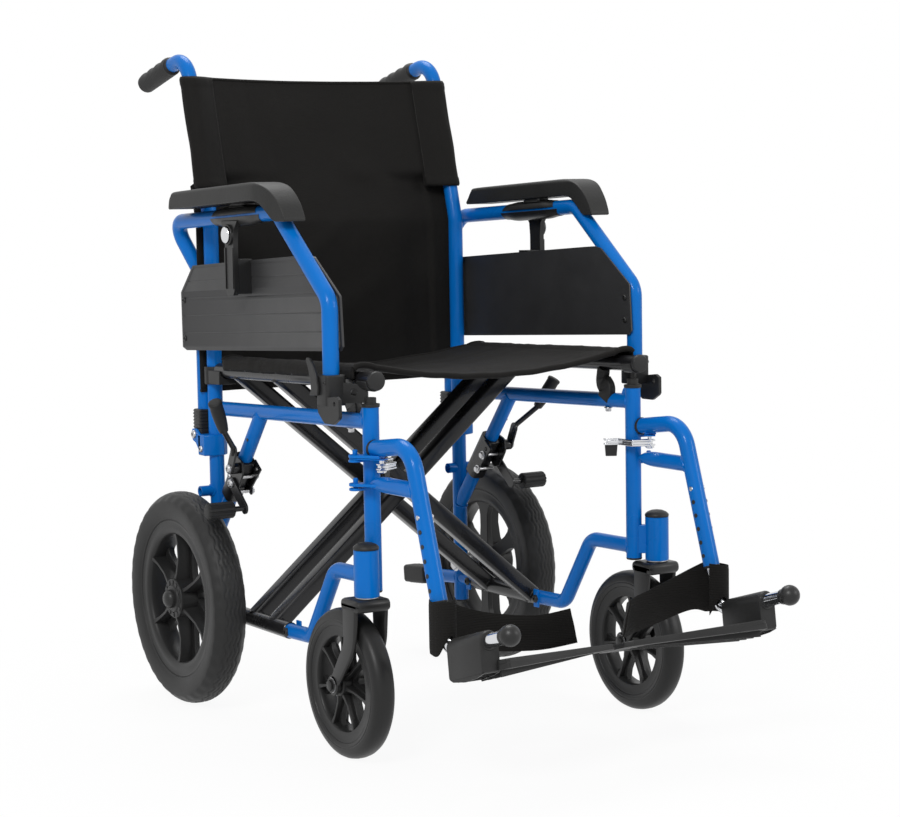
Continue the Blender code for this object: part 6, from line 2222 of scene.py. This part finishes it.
def keel_drop(deep):
    return foot_spot(0.0, 0.0, -deep) - foot_spot(0.0, 0.0, 0.0)


def footplate_rings():
    """The dark mouths of the block, round the tube."""
    shapes = []
    run = foot_spot(0.0, 1.0, 0.0) - foot_spot(0.0, 0.0, 0.0)
    for along in (0.0172, 0.0958):
        ring = [(0.0089, 0.0), (0.0112, 0.0), (0.0118, 0.0008), (0.0118, 0.0024), (0.0112, 0.0032), (0.0089, 0.0032)]
        shapes.append(turned(foot_spot(LEG_OUTBOARD, along, 0.0), run, ring, 40))
    return merged(*shapes)


PLATE_OUTLINE = (
    (LEG_OUTBOARD - 0.008, 0.098),
    (LEG_OUTBOARD - 0.016, 0.110),
    (0.080, 0.079),
    (0.016, 0.068),
    (0.007, 0.058),
    (0.007, 0.004),
    (0.019, -0.014),
    (0.060, -0.026),
    (LEG_OUTBOARD - 0.034, 0.012),
    (LEG_OUTBOARD - 0.010, 0.034),
)
PLATE_LEVELS = ((-0.0370, 0.975), (-0.0362, 1.0), (-0.0300, 1.0), (-0.0290, 0.994), (-0.0252, 0.992), (-0.0240, 0.98))
PLATE_TOP = ((-0.0240, 0.955), (-0.0256, 0.94))
PLATE_WAIST = -0.0290


def plate_above(out, above):
    """Heights below the plate's waist shrink towards the inner end, where the plate is thin."""
    deep = smooth_step(out, 0.0, LEG_OUTBOARD)
    return PLATE_WAIST + (above - PLATE_WAIST) * (0.30 + 0.70 * deep) if above < PLATE_WAIST else above


def plate_point(place, share, above):
    """A point of the footplate's outline drawn in towards its middle."""
    middle = (0.108, 0.036)
    out = middle[0] + (place[0] - middle[0]) * share
    along = middle[1] + (place[1] - middle[1]) * (1.0 - 1.6 * (1.0 - share))
    return foot_spot(out, along, plate_above(out, above))


def footplate_tray():
    """The tread plate: a stepped rim round a shallow tray."""
    corners = [Vector((out, along, 0.0)) for out, along in PLATE_OUTLINE]
    looped = [(corners[-1] + corners[0]) / 2] + corners + [(corners[-1] + corners[0]) / 2]
    outline = [(point.x, point.y) for point in rounded(looped, 0.0045, 4)[:-1]]
    rings = []
    for above, share in PLATE_LEVELS + PLATE_TOP:
        rings.append([plate_point(place, share, above) for place in outline])
    return loft(rings)


def footplate_ribs():
    """Raised ribs across the tray, and four deeper ribs below it that run with the front edge."""
    shapes = []
    count = shape_settings().plate_ribs
    rise = foot_spot(0.0, 0.0, 0.0014) - foot_spot(0.0, 0.0, 0.0)
    for index in range(count):
        along = -0.004 + 0.060 * index / max(1, count - 1)
        inner = 0.022 + 0.05 * max(0.0, (along - 0.045) / 0.03) + 0.03 * max(0.0, -along / 0.01)
        outer = min(LEG_OUTBOARD - 0.040, 0.046 + 3.2 * (along + 0.026))
        low = [(inner, along - 0.0012), (outer, along - 0.0012), (outer, along + 0.0012), (inner, along + 0.0012)]
        shapes.append(slab([foot_spot(*place, -0.0258) for place in low], rise))
    for index in range(4):
        back = 0.014 + 0.015 * index
        ends = [(LEG_OUTBOARD - 0.014, 0.104 - back), (0.040, 0.070 - back)]
        rings = []
        for (out, along), foot in zip(ends, (-0.0450, -0.0330)):
            ring = []
            for shift, above in ((-0.0013, foot), (0.0013, foot), (0.0016, -0.030), (-0.0016, -0.030)):
                ring.append(foot_spot(out, along + shift, above))
            rings.append(ring)
        shapes.append(loft(rings))
    return merged(*shapes)


def strap_stations():
    """The strap's run as (outboard, ahead, foot, top): a loop round the hanger's foot, then the band."""
    centre = HANGER_FOOT[0] + HANGER_RUN.x * 0.027
    back = HANGER_FOOT[0] + HANGER_RUN.x * 0.02 - FOOT_TUBE - 0.0008
    stations = []
    for degrees in (165, 120, 75, 30, -15, -60, -95):
        x = math.cos(math.radians(degrees))
        y = math.sin(math.radians(degrees))
        foot = 0.1705 + 0.0225 * smooth_step(y, 0.5, 0.9)
        stations.append(Vector((LEG_OUTBOARD + 0.0150 * x, centre + 0.0195 * y, foot, 0.2385 - 0.0020 * x)))
    stations.append(Vector((0.194, back - 0.0135, 0.1740, 0.2305)))
    stations.append(Vector((0.150, back - 0.0220, 0.1620, 0.2130)))
    stations.append(Vector((0.105, back - 0.0160, 0.1545, 0.2025)))
    stations.append(Vector((0.070, back + 0.0100, 0.1560, 0.2015)))
    stations.append(Vector((0.047, back + 0.0460, 0.1675, 0.2130)))
    return stations


def eased(stations, steps):
    """A smooth run through stations, with each of them on it."""
    fine = []
    for index in range(len(stations) - 1):
        a = stations[max(index - 1, 0)]
        b = stations[index]
        c = stations[index + 1]
        d = stations[min(index + 2, len(stations) - 1)]
        for step in range(steps):
            t = step / steps
            bend = (2 * a - 5 * b + 4 * c - d) * t**2 + (3 * b - a - 3 * c + d) * t**3
            fine.append(0.5 * (2 * b + (c - a) * t + bend))
    fine.append(stations[-1])
    return fine


def heel_strap():
    """A wide band of webbing, looped round the hanger's foot and led to the plate's inner rear corner."""
    fine = eased(strap_stations(), 6)
    last = len(fine) - 1
    rings = []
    for index, (out, ahead, foot, top) in enumerate(fine):
        along = (fine[min(index + 1, last)] - fine[max(index - 1, 0)]).xy.normalized()
        across = Vector((-along.y, along.x))
        share = index / last
        loose = smooth_step(share, 0.45, 0.62)
        ring = []
        for shift, rows in ((-1, range(11)), (1, range(10, -1, -1))):
            for row in rows:
                part = row / 10
                up = foot + (top - foot) * part
                cup = (0.0030 * ripple(share * 8.0, part * 1.6, 3.0) + 0.0026 * (part - 0.5) ** 2) * loose
                thin = 0.0011 * (1.0 - 0.5 * (row in (0, 10)))
                edge = Vector((out, ahead)) + across * (shift * thin + cup)
                wave = 0.0016 * ripple(share * 9.0, 2.0, 6.0) * loose
                slant = 0.010 * (1.0 - part) * smooth_step(share, 0.80, 1.0)
                ring.append(spot(edge.x - slant, edge.y, up + wave))
        rings.append(ring)
    return loft(rings)


class WHEELCHAIR_OT_footrests(bpy.types.Operator):
    """Draws the footrest tubes, knobs, footplates and heel straps"""

    bl_idname = "wheelchair.footrests"
    bl_label = "Footrests"

    def execute(self, context):
        pair("footrest_bend", footrest_tube(), "chrome", "footrest", "footrest_tube")
        knob = ball(spot(LEG_OUTBOARD, *(FOOT_AT + FOOT_RUN * FOOT_REACH)), KNOB, 40)
        neck = rod(foot_spot(LEG_OUTBOARD, 0.1315, 0.0), foot_spot(LEG_OUTBOARD, 0.139, 0.0), 0.0102, 0.001)
        pair("footrest_ball", merged(knob, neck), "black_gloss", "footrest", "footrest_knob", 0.0, 60.0)
        pair("footplate_block", footplate_block(), "black_plastic", "footplate", "footplate", 0.0, 30.0)
        pair("footplate_mouth", footplate_rings(), "black_plastic", "footplate")
        pair("footplate_keel", footplate_keel(), "black_plastic", "footplate")
        pair("footplate_tray", footplate_tray(), "black_plastic", "footplate", None, 0.0, 30.0)
        pair("footplate_ribs", footplate_ribs(), "black_plastic", "footplate", None, 0.0005)
        strap = heel_strap()
        for side, way in (("left", 1), ("right", -1)):
            shape = strap if way > 0 else mirrored(strap)
            band = piece("heel_band_" + side, shape, "webbing", None, ["heel_strap_" + side], 0.0, 40.0)
            start = spot(way * 0.195, 0.60, 0.19)
            end = spot(way * 0.055, 0.62, 0.19)
            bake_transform(band)
        return {"FINISHED"}


# Brakes


def brake_bracket():
    """The clamp on the strut and the perforated plate that carries both pivots."""
    low = spot(PLANE, STRUT_AHEAD, side_tube_up(STRUT_AHEAD))
    high = spot(PLANE, CANE_AHEAD, STRUT_FOOT)
    start = low.lerp(high, 0.38)
    end = low.lerp(high, 0.70)
    clamp = swept([start, end], soft_box(0.0128, 0.0140, 0.0080, 6))
    outline = [
        (SHOE_PIVOT.x - 0.020, SHOE_PIVOT.y + 0.008),
        (SHOE_PIVOT.x - 0.010, SHOE_PIVOT.y + 0.040),
        (BRAKE_PIVOT.x - 0.006, BRAKE_PIVOT.y + 0.016),
        (BRAKE_PIVOT.x + 0.010, BRAKE_PIVOT.y + 0.010),
        (BRAKE_PIVOT.x + 0.012, BRAKE_PIVOT.y - 0.008),
        (SHOE_PIVOT.x + 0.012, SHOE_PIVOT.y - 0.010),
        (SHOE_PIVOT.x - 0.004, SHOE_PIVOT.y - 0.012),
    ]
    place = facing_outboard(BRAKE_FACE)
    plate = ringed_plate(outline, (0.0775, 0.3500), 0.0040, place, OUT * 0.003)
    inner = [(0.0590, 0.3090), (0.0692, 0.3089), (0.1120, 0.3483), (0.0934, 0.3623), (0.0640, 0.3400)]
    behind = facing_outboard(PLANE - 0.0155)
    slotted = ringed_plate(inner, (0.0985, 0.3480), 0.0030, behind, OUT * 0.003)
    return merged(clamp, plate, slotted)


def brake_bolts():
    shapes = []
    for place, long in ((BRAKE_PIVOT, 0.0195), (SHOE_PIVOT, 0.008)):
        shapes.append(rod(spot(BRAKE_FACE, *place), spot(BRAKE_FACE + long, *place), 0.0035, 0.0005, 20))
        shapes.append(cap_screw(spot(BRAKE_FACE + long - 0.0008, *place), OUT, 0.0062, 0.0036))
    shapes.append(cap_screw(spot(BRAKE_FACE + 0.003, 0.0690, 0.3375), OUT, 0.0040, 0.0026))
    for ahead, up in ((0.0890, 0.3375), (0.0740, 0.3145)):
        start = spot(PLANE - 0.0125, ahead, up)
        shapes.append(rod(start, spot(BRAKE_FACE, ahead, up), 0.0028, 0.0004, 16))
        shapes.append(hex_bolt(spot(PLANE - 0.0155, ahead, up), -OUT, 0.0050, 0.0046))
    return merged(*shapes)


def brake_lever():
    """A boss on the pin, a flat link and the bent rod that carries the grip."""
    grip = spot(*LEVER_GRIP)
    corners = [
        spot(LEVER_FACE + 0.0015, LEVER_ELBOW.x - 0.003, LEVER_ELBOW.y - 0.006),
        spot(LEVER_FACE + 0.004, LEVER_ELBOW.x + 0.003, LEVER_ELBOW.y + 0.005),
        grip,
        grip.lerp(spot(*LEVER_TIP), 0.3),
    ]
    boss = [(0.0, 0.0076), (0.0008, 0.0080), (0.0115, 0.0080)]
    return merged(
        spun(spot(BRAKE_LAYER, *BRAKE_PIVOT), OUT, boss),
        round_link(BRAKE_PIVOT, LEVER_ELBOW, 0.008, LEVER_FACE, 0.003),
        tube(rounded(corners, 0.007, 8), 0.004, 20),
    )


def brake_grip():
    """The rubber grip, wider upwards, with a rounded disc for its end."""
    start = spot(*LEVER_GRIP)
    profile = [
        (-0.0008, 0.0050),
        (0.0006, 0.0066),
        (0.0090, 0.0080),
        (0.0200, 0.0091),
        (0.0320, 0.0096),
        (0.0420, 0.0095),
        (0.0452, 0.0093),
        (0.0472, 0.0101),
        (0.0498, 0.0102),
        (0.0512, 0.0092),
        (0.0519, 0.0066),
    ]
    return spun(start, spot(*LEVER_TIP) - start, profile, 32)


def brake_shoe():
    """The link and the shaft of the roller."""
    link = round_link(SHOE_PIVOT, SHOE_AT, 0.0085, BRAKE_LAYER, 0.003)
    shaft = rod(spot(BRAKE_LAYER + 0.001, *SHOE_AT), spot(REAR_OUTBOARD, *SHOE_AT), 0.004, 0.0005, 20)
    return merged(link, shaft)


def brake_roller():
    """The rubber roller that presses the tyre, ribbed along its length."""
    path = []
    outlines = []
    ends = ((-0.0210, 0.0040), (-0.0200, 0.0012), (-0.0185, 0.0))
    for reach, shrink in ends + tuple((-reach, shrink) for reach, shrink in reversed(ends)):
        path.append(spot(REAR_OUTBOARD + reach, *SHOE_AT))
        outline = []
        for index, (x, y) in enumerate(circle(1.0, 72)):
            groove = 0.0011 if index % 6 < 2 and shrink < 0.004 else 0.0
            outline.append((x * (0.0120 - shrink - groove), y * (0.0120 - shrink - groove)))
        outlines.append(outline)
    return swept(path, outlines, UP)


class WHEELCHAIR_OT_brakes(bpy.types.Operator):
    """Draws the brakes: bracket, lever, grip, link and roller"""

    bl_idname = "wheelchair.brakes"
    bl_label = "Brakes"

    def execute(self, context):
        pair("brake_plate", brake_bracket(), "black_paint", "frame", "brake_bracket", 0.0006)
        pair("brake_bolts", brake_bolts(), "zinc", "frame")
        pair("brake_rod", brake_lever(), "black_paint", "brake_lever", "brake_lever", 0.0005)
        pair("brake_grip", brake_grip(), "grip_rubber", "brake_lever", None, 0.0, 50.0)
        pair("brake_link", brake_shoe(), "black_paint", "brake_shoe", "brake_shoe", 0.0005)
        pair("brake_roller", brake_roller(), "grip_rubber", "brake_shoe", None, 0.0, 35.0)
        return {"FINISHED"}


# Stage


def stage_floor(settings):
    """A pale floor that keeps soft shadows near the chair and turns plain white further out."""
    rings = []
    for radius in (0.0, 1.0, 2.5, 6.0, 20.0):
        rings.append([Vector((x, y, -0.0006)) for x, y in circle(radius, 64)])
    points, faces = grid([ring + ring[:1] for ring in rings])
    mesh = bpy.data.meshes.new("studio_floor")
    mesh.from_pydata([tuple(point) for point in points], [], faces)
    finish = Finish("studio_floor")
    place = finish.place()
    away = finish.add("ShaderNodeVectorMath", {"operation": "LENGTH"}, {0: place}, "Value")
    fade = finish.add(
        "ShaderNodeMapRange", {"clamp": True}, {"Value": away, "From Min": 0.40, "From Max": 1.0, "To Min": 0.93, "To Max": 1.0}
    )
    path = finish.tree.nodes.new("ShaderNodeLightPath")
    seen = Wire(finish, path.outputs["Is Camera Ray"]) + Wire(finish, path.outputs["Is Glossy Ray"])
    seen = seen + Wire(finish, path.outputs["Is Transmission Ray"])
    glow = finish.add("ShaderNodeEmission", {}, {"Color": (1.0, 1.0, 1.0, 1.0), "Strength": 1.0})
    grain = finish.noise(3.0, 2.0)
    finish.set(Base_Color=finish.blend(grain, paler(settings.floor, 0.99), tuple(settings.floor)), Roughness=0.9)
    mixed = finish.add("ShaderNodeMixShader", {}, {0: fade * seen, 1: Wire(finish, finish.shader.outputs[0]), 2: glow})
    finish.put(finish.tree.nodes["Material Output"].inputs["Surface"], mixed)
    mesh.materials.append(finish.material)
    floor = bpy.data.objects.new("studio_floor", mesh)
    bpy.context.collection.objects.link(floor)


def stage_world(settings):
    """White where it is seen, and an even soft light on the chair."""
    world = bpy.data.worlds.new("studio")
    world.use_nodes = True
    nodes = world.node_tree.nodes
    links = world.node_tree.links
    back = nodes["Background"]
    back.inputs["Color"].default_value = (1.0, 1.0, 1.0, 1.0)
    path = nodes.new("ShaderNodeLightPath")
    both = nodes.new("ShaderNodeMath")
    both.operation = "ADD"
    links.new(path.outputs["Is Camera Ray"], both.inputs[0])
    links.new(path.outputs["Is Transmission Ray"], both.inputs[1])
    more = nodes.new("ShaderNodeMath")
    more.operation = "ADD"
    more.use_clamp = True
    links.new(both.outputs[0], more.inputs[0])
    links.new(path.outputs["Is Glossy Ray"], more.inputs[1])
    level = nodes.new("ShaderNodeMapRange")
    links.new(more.outputs[0], level.inputs["Value"])
    level.inputs["To Min"].default_value = settings.ambient
    level.inputs["To Max"].default_value = 1.0
    links.new(level.outputs[0], back.inputs["Strength"])
    bpy.context.scene.world = world


def stage_lamp(name, place, aim, power, size):
    data = bpy.data.lights.new(name, "AREA")
    data.energy = power
    data.shape = "DISK"
    data.size = size
    lamp = bpy.data.objects.new(name, data)
    lamp.location = place
    lamp.rotation_euler = (Vector(aim) - Vector(place)).to_track_quat("-Z", "Y").to_euler()
    bpy.context.collection.objects.link(lamp)


def stage_camera():
    data = bpy.data.cameras.new("photo_camera")
    data.sensor_fit = "HORIZONTAL"
    data.sensor_width = CAMERA_SENSOR
    data.lens = CAMERA_LENS
    camera = bpy.data.objects.new("photo_camera", data)
    back = CAMERA_RIGHT.cross(CAMERA_UP)
    turn = Matrix((CAMERA_RIGHT, CAMERA_UP, back)).transposed().to_4x4()
    camera.matrix_world = Matrix.Translation(CAMERA_AT) @ turn
    bpy.context.collection.objects.link(camera)
    bpy.context.scene.camera = camera


class WHEELCHAIR_OT_stage(bpy.types.Operator):
    """Sets up the floor, the lights, the camera and the view transform"""

    bl_idname = "wheelchair.stage"
    bl_label = "Stage"

    def execute(self, context):
        settings = context.scene.wheelchair_stage
        context.scene.view_settings.view_transform = "Standard"
        stage_camera()
        stage_floor(settings)
        stage_world(settings)
        stage_lamp("key_light", (-2.6, -2.2, 2.9), (0.0, 0.0, 0.5), settings.key, 1.3)
        stage_lamp("fill_light", (2.4, -2.9, 1.9), (0.0, 0.0, 0.5), settings.fill, 1.3)
        stage_lamp("top_light", (0.4, 1.3, 3.3), (0.0, 0.0, 0.4), settings.top, 1.8)
        return {"FINISHED"}


# Panel and registration


PIECE_OPERATORS = (
    WHEELCHAIR_OT_stage,
    WHEELCHAIR_OT_side_frames,
    WHEELCHAIR_OT_wheels,
    WHEELCHAIR_OT_cross_brace,
    WHEELCHAIR_OT_seat,
    WHEELCHAIR_OT_back,
    WHEELCHAIR_OT_armrests,
    WHEELCHAIR_OT_sockets,
    WHEELCHAIR_OT_legrests,
    WHEELCHAIR_OT_footrests,
    WHEELCHAIR_OT_brakes,
)
SETTING_GROUPS = {
    "wheelchair_shape": WheelchairShape,
    "wheelchair_colours": WheelchairColours,
    "wheelchair_stage": WheelchairStage,
}


class WHEELCHAIR_PT_pieces(bpy.types.Panel):
    """Lists the settings and the operators"""

    bl_idname = "WHEELCHAIR_PT_pieces"
    bl_label = "Wheelchair"
    bl_space_type = "VIEW_3D"
    bl_region_type = "UI"
    bl_category = "Wheelchair"

    def draw(self, context):
        for name, group in SETTING_GROUPS.items():
            column = self.layout.column()
            for key in group.__annotations__:
                column.prop(getattr(context.scene, name), key)
        for operator in PIECE_OPERATORS:
            self.layout.operator(operator.bl_idname)


def register():
    for name, group in SETTING_GROUPS.items():
        bpy.utils.register_class(group)
        setattr(bpy.types.Scene, name, bpy.props.PointerProperty(type=group))
    for operator in PIECE_OPERATORS:
        bpy.utils.register_class(operator)
    bpy.utils.register_class(WHEELCHAIR_PT_pieces)


def unregister():
    bpy.utils.unregister_class(WHEELCHAIR_PT_pieces)
    for operator in reversed(PIECE_OPERATORS):
        bpy.utils.unregister_class(operator)
    for name, group in reversed(SETTING_GROUPS.items()):
        delattr(bpy.types.Scene, name)
        bpy.utils.unregister_class(group)


def main():
    register()
    for operator in PIECE_OPERATORS:
        group, name = operator.bl_idname.split(".")
        getattr(getattr(bpy.ops, group), name)()


if __name__ == "__main__":
    main()
